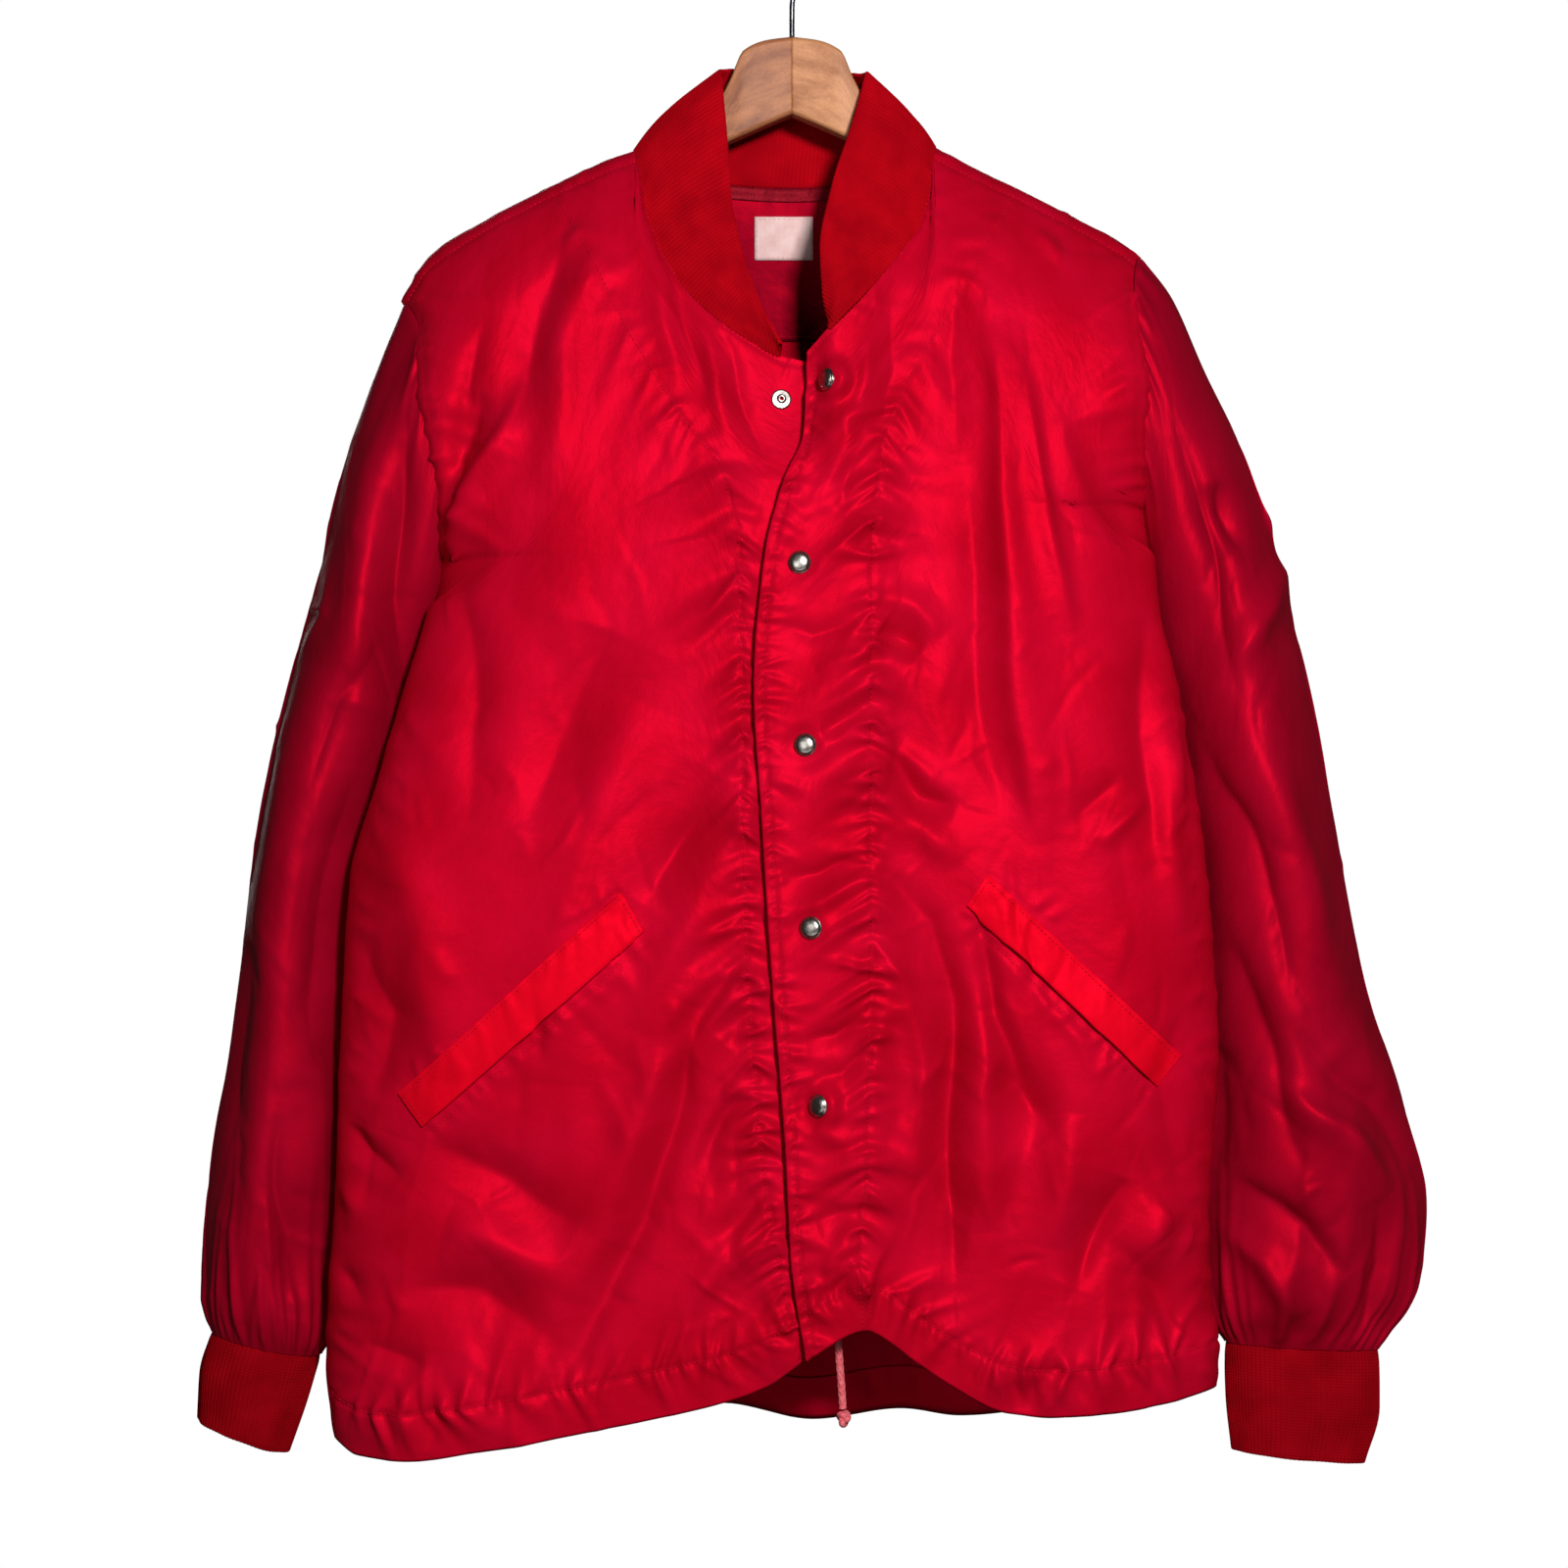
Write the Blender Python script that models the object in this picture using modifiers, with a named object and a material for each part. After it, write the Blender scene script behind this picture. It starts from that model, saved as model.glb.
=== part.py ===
"""A nylon windbreaker hung on a wooden hanger.

Lengths are millimetres, and each mesh is scaled to metres as it is made. +Z is up and the
front faces -Y. The origin is the point inside the hook where a rail bears. Right and left are
the wearer's, so the right front is at -X. The cloth hangs from the hanger's arms, and its left
front laps over its right front.
"""

from bisect import bisect_right
from collections import namedtuple
import math

import bmesh
import bpy
from mathutils import Matrix, Vector
from mathutils.bvhtree import BVHTree

MM = 0.001

# Walls, and the gaps between the pieces.
CLOTH = 1.6
KNIT = 2.4
WELT = 1.2
LABEL = 0.8
SEAM = 0.3
LIE = 0.6
WELT_LIE = 0.9
SHOULDER_GAP = 1.0
SIDE_GAP = 1.5
ARMHOLE_GAP = (1.2, 3.2)
NECK_GAP = 1.3
CUFF_GAP = 1.5

# The body's section: the front and back faces, the folds at the sides and the tuck between.
RIDGE_Y = -3.0
SEAM_Y = 2.0
FOLD_Y = 22.0
CORNER = 90.0
TUCK_DEPTH = 14.0
NECK_SPREAD = (-150.0, 120.0)
ROUND = 72.0
ARMHOLE_REACH = 32.0
HEM = 27.0
CASING_END = 0.2
LAP = 8.0
LAP_BLEND = 40.0

# How many rows and columns each panel has.
ARMHOLE_ROWS = 9
SIDE_ROWS = 13
SHOULDER_COLUMNS = 8
TUCK_COLUMNS = 2
NECK_COLUMNS = 6
BACK_NECK_COLUMNS = 8
LOW_NECK = 0.60
LOW_COLLAR = 0.90
LOW_BACK_NECK = 0.33
TURN_STEPS = 10

Edge = namedtuple("Edge", "z x")
Depth = namedtuple("Depth", "z front back")
Line = namedtuple("Line", "x z")
Neck = namedtuple("Neck", "x y z")
Armhole = namedtuple("Armhole", "top foot")
Fold = namedtuple("Fold", "x0 z0 x1 z1 width rise")

# The body's outer edge, seen from the front: the armhole, then the fold down the side.
EDGE = {
    "right": [
        Edge(-208, -217), Edge(-225, -208), Edge(-255, -206), Edge(-294, -198),
        Edge(-320, -194), Edge(-352, -194), Edge(-386, -202), Edge(-425, -214),
        Edge(-474, -228), Edge(-528, -243), Edge(-637, -249), Edge(-698, -251),
        Edge(-795, -256), Edge(-841, -250),
    ],
    "left": [
        Edge(-184, 194), Edge(-200, 191), Edge(-225, 191), Edge(-253, 194),
        Edge(-300, 194), Edge(-324, 196), Edge(-346, 199), Edge(-384, 203),
        Edge(-412, 210), Edge(-453, 217), Edge(-525, 227), Edge(-626, 231),
        Edge(-717, 228), Edge(-806, 232),
    ],
}
ARMHOLE = {"right": Armhole(-208, -352), "left": Armhole(-184, -324)}
INWARD = {"right": 1, "left": -1}

# The front edges. The left one shows; the right one is under it.
FRONT_EDGE = {
    "right": [
        Edge(-247, 14), Edge(-267, 17), Edge(-300, 24), Edge(-357, 30), Edge(-455, 33),
        Edge(-553, 36), Edge(-648, 39), Edge(-786, 34),
    ],
    "left": [
        Edge(-242, 8), Edge(-285, 6), Edge(-313, -5), Edge(-352, -15), Edge(-423, -21),
        Edge(-491, -17), Edge(-584, -11), Edge(-672, -4), Edge(-731, -1), Edge(-785, 7),
    ],
}

DEPTH = [
    Depth(-120, 24, 24), Depth(-208, 44, 38), Depth(-260, 52, 44), Depth(-350, 60, 50),
    Depth(-450, 64, 54), Depth(-620, 68, 58), Depth(-760, 67, 58), Depth(-841, 64, 56),
]

# The shoulder seams and the neck seam, where the panels' tops lie.
SHOULDER = {
    "right": [
        Line(-217, -208), Line(-201, -183), Line(-168, -162), Line(-135, -145),
        Line(-102, -130), Line(-86, -124),
    ],
    "left": [
        Line(194, -184), Line(180, -174), Line(159, -163), Line(126, -146),
        Line(94, -131), Line(78, -122),
    ],
}
NECK_POINT = {"right": -86.0, "left": 78.0}
COLLAR_END = {"right": -6.0, "left": 20.0}
FRONT_NECK = {
    "right": [
        Neck(-86, -3.5, -124), Neck(-84.4, -14, -134), Neck(-80, -23, -160), Neck(-71, -31, -184),
        Neck(-57, -38, -205), Neck(-38, -44, -223), Neck(-20, -47, -235), Neck(-6, -48, -243),
        Neck(14, -48, -247),
    ],
    "left": [
        Neck(78, -3.5, -122), Neck(77.2, -14, -132), Neck(75.5, -22, -150), Neck(70, -29, -167),
        Neck(59, -36, -184),
        Neck(38, -44, -210), Neck(20, -50, -229), Neck(8, -50, -242),
    ],
}
BACK_NECK = [
    Neck(-86, -2.5, -124), Neck(-84, 8, -127), Neck(-70, 19, -131), Neck(-40, 28, -137),
    Neck(0, 31, -139), Neck(36, 28, -137), Neck(64, 19, -130), Neck(76, 8, -126),
    Neck(78, -2.5, -122),
]

# The bottom edge: lifted at the lapped fronts, and level across the back.
FRONT_HEM = {
    "right": [
        Line(-252, -833), Line(-236, -841), Line(-212, -842), Line(-170, -836),
        Line(-100, -823), Line(-37, -809), Line(-13, -800), Line(3, -790), Line(38, -784),
    ],
    "left": [
        Line(6, -787), Line(15, -780), Line(40, -769), Line(50, -774), Line(68, -788),
        Line(89, -802), Line(113, -814), Line(139, -817), Line(173, -815), Line(232, -806),
    ],
}
BACK_HEM = [
    Line(-252, -833), Line(-160, -838), Line(-38, -830), Line(12, -839), Line(63, -833),
    Line(96, -837), Line(170, -826), Line(232, -806),
]

# The largest folds of the fronts. A rise stands out of the face, and a fall is below it.
FRONT_FOLDS = [
    Fold(-30, -560, -60, -630, 15, -7),
    Fold(-60, -630, -84, -720, 17, -9),
    Fold(-84, -720, -132, -800, 18, -8),
    Fold(-105, -390, -148, -500, 26, -6),
    Fold(-35, -470, -76, -542, 16, -5),
    Fold(-60, -520, -100, -660, 22, 5),
    Fold(-126, -165, -158, -300, 20, -6),
    Fold(-150, -640, -215, -700, 24, -7),
    Fold(-110, -700, -190, -760, 20, 5),
    Fold(-150, -745, -225, -768, 18, -6),
    Fold(58, -530, 80, -560, 14, -7),
    Fold(80, -560, 90, -690, 15, -9),
    Fold(90, -690, 92, -780, 15, -7),
    Fold(56, -560, 78, -660, 14, 5),
    Fold(107, -290, 118, -380, 22, 5),
    Fold(118, -380, 130, -520, 22, 5),
    Fold(148, -290, 176, -370, 20, 5),
    Fold(48, -390, 72, -402, 13, -6),
    Fold(55, -448, 90, -486, 14, -6),
    Fold(182, -680, 156, -750, 20, -8),
    Fold(110, -640, 150, -668, 18, 5),
    Fold(172, -720, 225, -770, 18, -6),
]
BACK_FOLDS = [
    Fold(-110, -230, -150, -420, 26, 6),
    Fold(-60, -300, -40, -560, 24, -6),
    Fold(30, -260, 60, -520, 26, 6),
    Fold(100, -330, 140, -600, 24, -6),
    Fold(-170, -480, -150, -790, 26, -7),
    Fold(-80, -560, -100, -810, 24, 6),
    Fold(10, -560, 0, -810, 24, -6),
    Fold(80, -600, 70, -800, 24, 6),
    Fold(170, -520, 180, -780, 24, -6),
]

# Sleeves and cuffs: the outer and inner edges of each ring, its half depth and its middle.
Ring = namedtuple("Ring", "share outer_x outer_z inner_x inner_z depth y")
SLEEVE = {
    "right": [
        Ring(0.00, -219, -208, -196, -353, 32, -4),
        Ring(0.06, -233, -243, -198, -374, 36, -1),
        Ring(0.14, -247, -291, -202, -398, 38, 1),
        Ring(0.24, -260, -347, -213, -430, 40, 2),
        Ring(0.36, -277, -415, -230, -484, 42, 2),
        Ring(0.50, -296, -505, -244, -560, 42, 2),
        Ring(0.64, -312, -600, -250, -640, 42, 2),
        Ring(0.76, -323, -680, -253, -705, 44, 2),
        Ring(0.86, -327, -730, -255, -752, 42, 2),
        Ring(0.94, -326, -762, -258, -780, 34, 0),
        Ring(1.00, -321, -779, -263, -792, 25, 0),
    ],
    "left": [
        Ring(0.00, 197, -184, 197, -325, 32, -4),
        Ring(0.06, 214, -204, 199, -348, 36, -1),
        Ring(0.14, 233, -250, 200, -378, 38, 1),
        Ring(0.24, 257, -303, 208, -418, 40, 2),
        Ring(0.36, 278, -378, 218, -478, 42, 2),
        Ring(0.50, 299, -482, 228, -558, 44, 2),
        Ring(0.64, 318, -580, 231, -634, 44, 2),
        Ring(0.76, 341, -655, 231, -694, 44, 2),
        Ring(0.86, 353, -708, 231, -736, 40, 2),
        Ring(0.94, 347, -752, 234, -768, 30, 0),
        Ring(1.00, 325, -789, 242, -785, 16, 0),
    ],
}
CUFF = {
    "right": [
        Ring(0.0, -321, -779, -263, -792, 25, 0),
        Ring(0.5, -328, -804, -270, -817, 24, 0),
        Ring(1.0, -329, -828, -280, -846, 21, 0),
    ],
    "left": [
        Ring(0.0, 325, -789, 242, -785, 16, 0),
        Ring(0.5, 325, -822, 243, -816, 15, 0),
        Ring(1.0, 317, -852, 246, -845, 14, 0),
    ],
}
SLEEVE_ROWS = 15
SLEEVE_COLUMNS = 42
GATHERS = 14
GATHER_RISE = 2.2
FLAT_EDGE = 0.9
CUFF_COLUMNS = 28

# The collar's free edge, by its share of the neck seam from the right front's end.
Rib = namedtuple("Rib", "share x y z bulge")
COLLAR = [
    Rib(0.00, -7, -49, -238, 0.0), Rib(0.05, -18, -46, -214, 0.5),
    Rib(0.12, -28, -41, -186, 2.0), Rib(0.19, -34, -32, -155, 4.0),
    Rib(0.26, -37, -19, -113, 6.0), Rib(0.30, -39, -12, -92, 6.5),
    Rib(0.33, -40, -2, -81, 7.0),
    Rib(0.42, -30, 14, -77, 6.0), Rib(0.51, 0, 24, -78, 5.0),
    Rib(0.61, 30, 15, -79, 6.0), Rib(0.69, 41, -2, -82, 7.0),
    Rib(0.73, 39, -13, -93, 6.5), Rib(0.77, 34, -20, -112, 6.0),
    Rib(0.85, 23, -31, -147, 4.0),
    Rib(0.92, 16, -41, -184, 2.0), Rib(0.97, 17, -47, -208, 0.5),
    Rib(1.00, 19, -50, -223, 0.0),
]
COLLAR_ROWS = 4

# The pocket welts, by the corners of each, and the neck label and facing.
Corner = namedtuple("Corner", "x z")
POCKET = {
    "right": [Corner(-92, -534), Corner(-80, -555), Corner(-212, -643), Corner(-199, -660)],
    "left": [Corner(105, -525), Corner(94, -541), Corner(210, -623), Corner(197, -639)],
}
WELT_COLUMNS = 14
WELT_ROWS = 3
FACING_FOOT = -225.0
FACING_SIDES = (-66.0, 60.0)
LABEL_BOX = (-21.0, 12.0, -180.0, -156.0)

# The snaps, down the fronts. The top one is open, and the others are shut.
Snap = namedtuple("Snap", "x z")
SNAPS = [Snap(4, -357), Snap(7, -455), Snap(10, -553), Snap(14, -648)]
OPEN_CAP = Snap(19, -258)
OPEN_STUD = Snap(-6, -267)
CAP_RADIUS = 6.25
CAP_RISE = 2.9
STUD_RADIUS = 5.6
STUD_PLATE = 0.9
STUD_POST = 2.2
STUD_RISE = 1.6
BACK_RADIUS = 5.0
SOCKET_RISE = 1.8

# The hanger: two arms that meet at the middle, and a wire hook.
Arm = namedtuple("Arm", "x top foot y half")
ARM = [
    Arm(0.15, -61, -104, 3, 8.5), Arm(14, -63, -110, 2, 8.5), Arm(27, -69, -116, 1, 8.5),
    Arm(34, -84, -119, 1, 8.0), Arm(40, -95, -122, 1, 7.5), Arm(60, -117, -136, 1, 6.5),
    Arm(76, -131, -148, 1, 6.0), Arm(90, -139, -156, 1, 6.0), Arm(130, -157, -173, 0, 6.0),
    Arm(170, -177, -192, -1, 6.0), Arm(184, -188, -199, -1, 4.5),
]
ARM_CHAMFER = 2.0
WIRE = 1.5
HOOK_INSIDE = 16.0
HOOK_STEM = [(0.0, -60.6), (0.0, -50.0), (0.2, -41.5), (1.4, -37.2), (4.0, -34.2)]
HOOK_SWEEP = (-66.0, 205.0)
HOOK_STEPS = 22

# The drawcord's free end, out of the casing at the middle of the front hem.
CORD = 4.2
CORD_ROUTE = [(24.5, -50.0, -770.0), (25.4, -49.0, -785.0), (26.6, -48.0, -800.0),
              (27.6, -47.5, -815.0)]
KNOT_AT = (28.0, -47.5, -820.3)
KNOT_SIZE = (4.1, 3.9, 5.0)


def read(rows, at, column):
    """A column's value at a place along the first column, on a curve that never overshoots."""
    if rows[0][0] > rows[-1][0]:
        rows = rows[::-1]
    keys = [row[0] for row in rows]
    values = [getattr(row, column) for row in rows]
    if at <= keys[0]:
        return values[0]
    if at >= keys[-1]:
        return values[-1]
    slopes = [(b - a) / (q - p) for a, b, p, q in zip(values, values[1:], keys, keys[1:])]
    tangents = [slopes[0]]
    for before, after in zip(slopes, slopes[1:]):
        same_way = before * after > 0
        tangents.append(2 * before * after / (before + after) if same_way else 0.0)
    tangents.append(slopes[-1])
    i = bisect_right(keys, at) - 1
    span = keys[i + 1] - keys[i]
    t = (at - keys[i]) / span
    ends = (2 * t ** 3 - 3 * t ** 2 + 1) * values[i] + (3 * t ** 2 - 2 * t ** 3) * values[i + 1]
    bend = (t ** 3 - 2 * t ** 2 + t) * tangents[i] + (t ** 3 - t ** 2) * tangents[i + 1]
    return ends + bend * span


def mix(a, b, share):
    return a + (b - a) * share


def ease(share):
    """0 to 1 with level ends."""
    share = min(1.0, max(0.0, share))
    return share * share * (3 - 2 * share)


def quarter_round(share):
    """0 to 1 along a quarter of a circle: upright at first, then level."""
    share = min(1.0, max(0.0, share))
    return math.sqrt(1 - (1 - share) ** 2)


def fold_relief(folds, x, z):
    """How far the folds push the cloth out at a place on a face."""
    total = 0.0
    for fold in folds:
        along = Vector((fold.x1 - fold.x0, fold.z1 - fold.z0))
        offset = Vector((x - fold.x0, z - fold.z0))
        share = min(1.0, max(0.0, offset.dot(along) / along.length_squared))
        distance = (offset - share * along).length
        total += fold.rise * math.exp(-(distance / fold.width) ** 2)
    return total


def armhole_angle(side, z):
    """The angle round an armhole at a height: 0 at its top and pi at its foot."""
    hole = ARMHOLE[side]
    half = (hole.top - hole.foot) / 2
    middle = (hole.top + hole.foot) / 2
    return math.acos(min(1.0, max(-1.0, (z - middle) / half)))


def body_edge(side, face, z):
    """The place where a panel ends at its side. A face is -1 for the front, 1 for the back."""
    hole = ARMHOLE[side]
    x = read(EDGE[side], z, "x")
    if z > hole.top:
        return x, RIDGE_Y
    if z > hole.foot:
        angle = armhole_angle(side, z)
        level = mix(RIDGE_Y, SEAM_Y, angle / math.pi)
        return x, level + face * ARMHOLE_REACH * math.sin(angle)
    return x, SEAM_Y + face * SIDE_GAP / 2


def tuck(side, z):
    """How far the side seam lies inside the folds at its two sides."""
    below = ARMHOLE[side].foot - z
    return TUCK_DEPTH * ease((below - 15) / 45) * mix(1.0, 0.6, ease((below - 380) / 80))


def panel_point(side, face, span, column, z):
    """A point of a panel's smooth form, before its top is drawn in and its folds are added.

    The span is how far the face reaches from the side's edge. A column gives its share of the
    span at the armhole, its share below it, and how far it is through the tuck.
    """
    edge_x, edge_y = body_edge(side, face, z)
    low = ease((ARMHOLE[side].foot - z) / 30)
    spread = ease((NECK_SPREAD[0] - z) / NECK_SPREAD[1]) if column.neck else low
    share = mix(column.top, column.low, spread)
    fold_y = mix(edge_y, face * FOLD_Y, low)
    depth = face * read(DEPTH, z, "front" if face < 0 else "back")
    inset = tuck(side, z) * (1 + math.cos(math.pi * column.tuck)) / 2
    start_y = mix(edge_y, fold_y, column.tuck)
    x = edge_x + INWARD[side] * inset + span * share
    y = mix(start_y, depth, quarter_round(abs(span) * share / CORNER))
    return x, y


Column = namedtuple("Column", "top low tuck neck", defaults=(False,))


def shoulder_columns(top_share, low_share):
    """The columns from the side to the neck point, closest where the side turns."""
    columns = []
    for i in range(SHOULDER_COLUMNS + 1):
        past = max(0, i - TUCK_COLUMNS) / (SHOULDER_COLUMNS - TUCK_COLUMNS)
        top = top_share * (i / SHOULDER_COLUMNS) ** 1.1
        columns.append(Column(top, low_share * past ** 1.5, min(1.0, i / TUCK_COLUMNS)))
    return columns


def row_shares(side, foot):
    """How far down each row is at the side: even angles round the armhole, then even steps."""
    hole = ARMHOLE[side]
    half = (hole.top - hole.foot) / 2
    drops = [half * (1 - math.cos(math.pi * k / ARMHOLE_ROWS)) for k in range(ARMHOLE_ROWS)]
    side_drop = hole.top - foot - 2 * half
    drops += [2 * half + side_drop * k / SIDE_ROWS for k in range(SIDE_ROWS + 1)]
    return [drop / (hole.top - foot) for drop in drops]


def settle(place, line, start):
    """The height at which a column meets a line that gives a height for each x."""
    z = start
    for _ in range(30):
        z = mix(z, line(place(z)), 0.6)
    return z


def front_top(side, x):
    """The height of the front's top edge: the shoulder seam, then the neck seam."""
    if (x - NECK_POINT[side]) * INWARD[side] <= 0:
        return read(SHOULDER[side], x, "z")
    return read(FRONT_NECK[side], x, "z")


def lap_push(side, x, z):
    """How far the left front stands in front of the right one, and how its top edge curls."""
    if side == "right":
        corner = ease((x + 40) / 40) * ease((z + 330) / 60)
        return 7 * corner
    lapped = -LAP * ease((LAP_BLEND + 30 - x) / LAP_BLEND)
    curl = 7 * ease((24 - x) / 18) * ease((z + 320) / 40)
    return lapped + curl


def front_rows(side):
    """The points of a front panel, row by row down from its shoulder and neck seams."""
    inward = INWARD[side]
    edge = FRONT_EDGE[side]
    top_span = read(edge, -124, "x") - read(EDGE[side], -124, "x")
    neck_share = (NECK_POINT[side] - EDGE[side][0].x) / top_span
    collar_share = (COLLAR_END[side] - EDGE[side][0].x) / top_span
    columns = shoulder_columns(neck_share, LOW_NECK)
    for i in range(1, NECK_COLUMNS + 1):
        share = i / NECK_COLUMNS
        top = mix(neck_share, collar_share, share ** 2.2)
        columns.append(Column(top, mix(LOW_NECK, LOW_COLLAR, share), 1.0, True))
    columns.append(Column(1.0, 1.0, 1.0, True))

    shares = row_shares(side, FRONT_HEM[side][0 if side == "right" else -1].z + HEM)
    grid = []
    for column_index, column in enumerate(columns):

        def place(z):
            span = read(edge, z, "x") - body_edge(side, -1, z)[0]
            return panel_point(side, -1, span, column, z)

        top = settle(lambda z: place(z)[0], lambda x: front_top(side, x), -200)
        if column_index == 0:
            top = ARMHOLE[side].top
        foot = settle(lambda z: place(z)[0], lambda x: read(FRONT_HEM[side], x, "z"), -810)
        top_x = place(top)[0]
        past_neck = (top_x - NECK_POINT[side]) * inward > 0.01
        seam_y = read(FRONT_NECK[side], top_x, "y") if past_neck else RIDGE_Y - SHOULDER_GAP / 2
        even = ease((column_index - SHOULDER_COLUMNS) / NECK_COLUMNS) * 0.6
        heights = []
        for row, share in enumerate(shares):
            down = mix(share, row / (len(shares) - 1), even)
            heights.append(mix(top, foot + HEM, down))
        heights += [foot + HEM / 2, foot]
        line = []
        for z in heights:
            x, y = place(z)
            y = mix(seam_y, y, quarter_round((top - z) / ROUND)) if z > top - ROUND else y
            inset = ease(abs(x - body_edge(side, -1, z)[0]) / 60) * ease((top - z) / 60)
            y -= fold_relief(FRONT_FOLDS, x, z) * inset
            line.append(Vector((x, y + lap_push(side, x, z), z)))
        grid.append(line)
    return [list(row) for row in zip(*grid)]


def back_top(x):
    """The height of the back's top edge: the two shoulder seams and the neck seam between."""
    if x <= NECK_POINT["right"]:
        return read(SHOULDER["right"], x, "z")
    if x >= NECK_POINT["left"]:
        return read(SHOULDER["left"], x, "z")
    return read(BACK_NECK, x, "z")


def back_rows():
    """The points of the back panel, row by row down from its shoulder and neck seams."""
    width = EDGE["left"][0].x - EDGE["right"][0].x
    stations = []
    for side in ("right", "left"):
        reach = abs(NECK_POINT[side] - EDGE[side][0].x) / width
        made = [(side, column) for column in shoulder_columns(reach, LOW_BACK_NECK)]
        stations.append(made)
    right_neck = stations[0][-1][1]
    left_neck = stations[1][-1][1]
    middle = []
    for i in range(1, BACK_NECK_COLUMNS):
        share = (1 - math.cos(math.pi * i / BACK_NECK_COLUMNS)) / 2
        even = i / BACK_NECK_COLUMNS
        from_right = Column(mix(right_neck.top, 1 - left_neck.top, share),
                            mix(right_neck.low, 1 - left_neck.low, even), 1.0, True)
        from_left = Column(1 - from_right.top, 1 - from_right.low, 1.0, True)
        middle.append(("right", from_right) if even <= 0.5 else ("left", from_left))
    order = stations[0] + middle + stations[1][::-1]

    shares = {side: row_shares(side, FRONT_HEM[side][0 if side == "right" else -1].z + HEM)
              for side in ("right", "left")}
    grid = []
    for index, (side, column) in enumerate(order):
        other = "left" if side == "right" else "right"

        def place(z):
            span = body_edge(other, 1, z)[0] - body_edge(side, 1, z)[0]
            return panel_point(side, 1, span, column, z)

        top = settle(lambda z: place(z)[0], back_top, -180)
        if index in (0, len(order) - 1):
            top = ARMHOLE[side].top
        foot = settle(lambda z: place(z)[0], lambda x: read(BACK_HEM, x, "z"), -820)
        top_x = place(top)[0]
        in_neck = NECK_POINT["right"] + 0.01 < top_x < NECK_POINT["left"] - 0.01
        seam_y = read(BACK_NECK, top_x, "y") if in_neck else RIDGE_Y + SHOULDER_GAP / 2
        across = index / (len(order) - 1)
        heights = []
        for row in range(len(shares["right"])):
            down = mix(shares["right"][row], shares["left"][row], ease(across))
            heights.append(mix(top, foot + HEM, down))
        heights += [foot + HEM / 2, foot]
        line = []
        for z in heights:
            x, y = place(z)
            y = mix(seam_y, y, quarter_round((top - z) / ROUND)) if z > top - ROUND else y
            near = min(abs(x - body_edge(end, 1, z)[0]) for end in ("right", "left"))
            inset = ease(near / 60) * ease((top - z) / 60)
            line.append(Vector((x, y + fold_relief(BACK_FOLDS, x, z) * inset, z)))
        grid.append(line)
    return [list(row) for row in zip(*grid)]


def ring_point(row, angle, flat):
    """A point on a ring: angle 0 is the outer edge, and a quarter turn is the front."""
    outer = Vector((row.outer_x, 0, row.outer_z))
    inner = Vector((row.inner_x, 0, row.inner_z))
    middle = (outer + inner) / 2 + Vector((0, row.y, 0))
    bulge = math.sin(angle) * abs(math.sin(angle)) ** flat
    return middle + (outer - inner) / 2 * math.cos(angle) + Vector((0, -row.depth * bulge, 0))


def ring_at(rows, share):
    """The ring at a share of the way along a sleeve or cuff."""
    return Ring(share, *[read(rows, share, column) for column in Ring._fields[1:]])


def sleeve_rows(side):
    """The rings of a sleeve, from the armhole to the gathers at the cuff."""
    hole = ARMHOLE[side]
    rings = []
    for i in range(SLEEVE_ROWS + 1):
        share = i / SLEEVE_ROWS
        row = ring_at(SLEEVE[side], share)
        start = ring_at(SLEEVE[side], 0.0)
        from_hole = 1 - ease(share / 0.22)
        to_cuff = ease((share - 0.8) / 0.2)
        flat = mix(0.0, FLAT_EDGE, ease(share / 0.3)) * (1 - to_cuff)
        ripple = GATHER_RISE * ease((share - 0.72) / 0.18)
        ring = []
        for k in range(SLEEVE_COLUMNS):
            angle = 2 * math.pi * k / SLEEVE_COLUMNS
            point = ring_point(row, angle, flat)
            z = mix(hole.foot, hole.top, (1 + math.cos(angle)) / 2)
            face = -1 if angle < math.pi else 1
            edge_x, edge_y = body_edge(side, face, min(hole.top, max(hole.foot + 0.01, z)))
            gap = mix(*ARMHOLE_GAP, (1 - math.cos(angle)) / 2)
            hole_point = Vector((edge_x - INWARD[side] * gap, edge_y, z))
            point += (hole_point - ring_point(start, angle, 0.0)) * from_hole
            outward = Vector((math.cos(angle) * -INWARD[side], -math.sin(angle), 0))
            point += outward * ripple * math.cos(GATHERS * angle) * mix(1.0, 0.55, to_cuff)
            ring.append(point)
        rings.append(ring)
    rings[-1] = [point + Vector((0, 0, CUFF_GAP)) for point in rings[-1]]
    return rings


def cuff_rows(side):
    """The rings of a knit cuff."""
    rings = []
    for i in range(4):
        row = ring_at(CUFF[side], i / 3)
        angles = [2 * math.pi * k / CUFF_COLUMNS for k in range(CUFF_COLUMNS)]
        rings.append([ring_point(row, angle, 0.0) for angle in angles])
    return rings


def collar_rows(neck_line):
    """The rows of the collar, from the neck seam's own points to its free edge."""
    lengths = [0.0]
    for before, after in zip(neck_line, neck_line[1:]):
        lengths.append(lengths[-1] + (after - before).length)
    rows = [[] for _ in range(COLLAR_ROWS + 1)]
    for base, length in zip(neck_line, lengths):
        share = length / lengths[-1]
        free = Vector([read(COLLAR, share, axis) for axis in "xyz"])
        rise = free - base
        foot = base + rise.normalized() * min(NECK_GAP, rise.length / 3)
        outward = Vector((base.x, base.y, 0)).normalized()
        bulge = read(COLLAR, share, "bulge")
        for i in range(COLLAR_ROWS + 1):
            up = i / COLLAR_ROWS
            rows[i].append(foot.lerp(free, up) + outward * bulge * math.sin(math.pi * up) * 0.8)
    return rows


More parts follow.
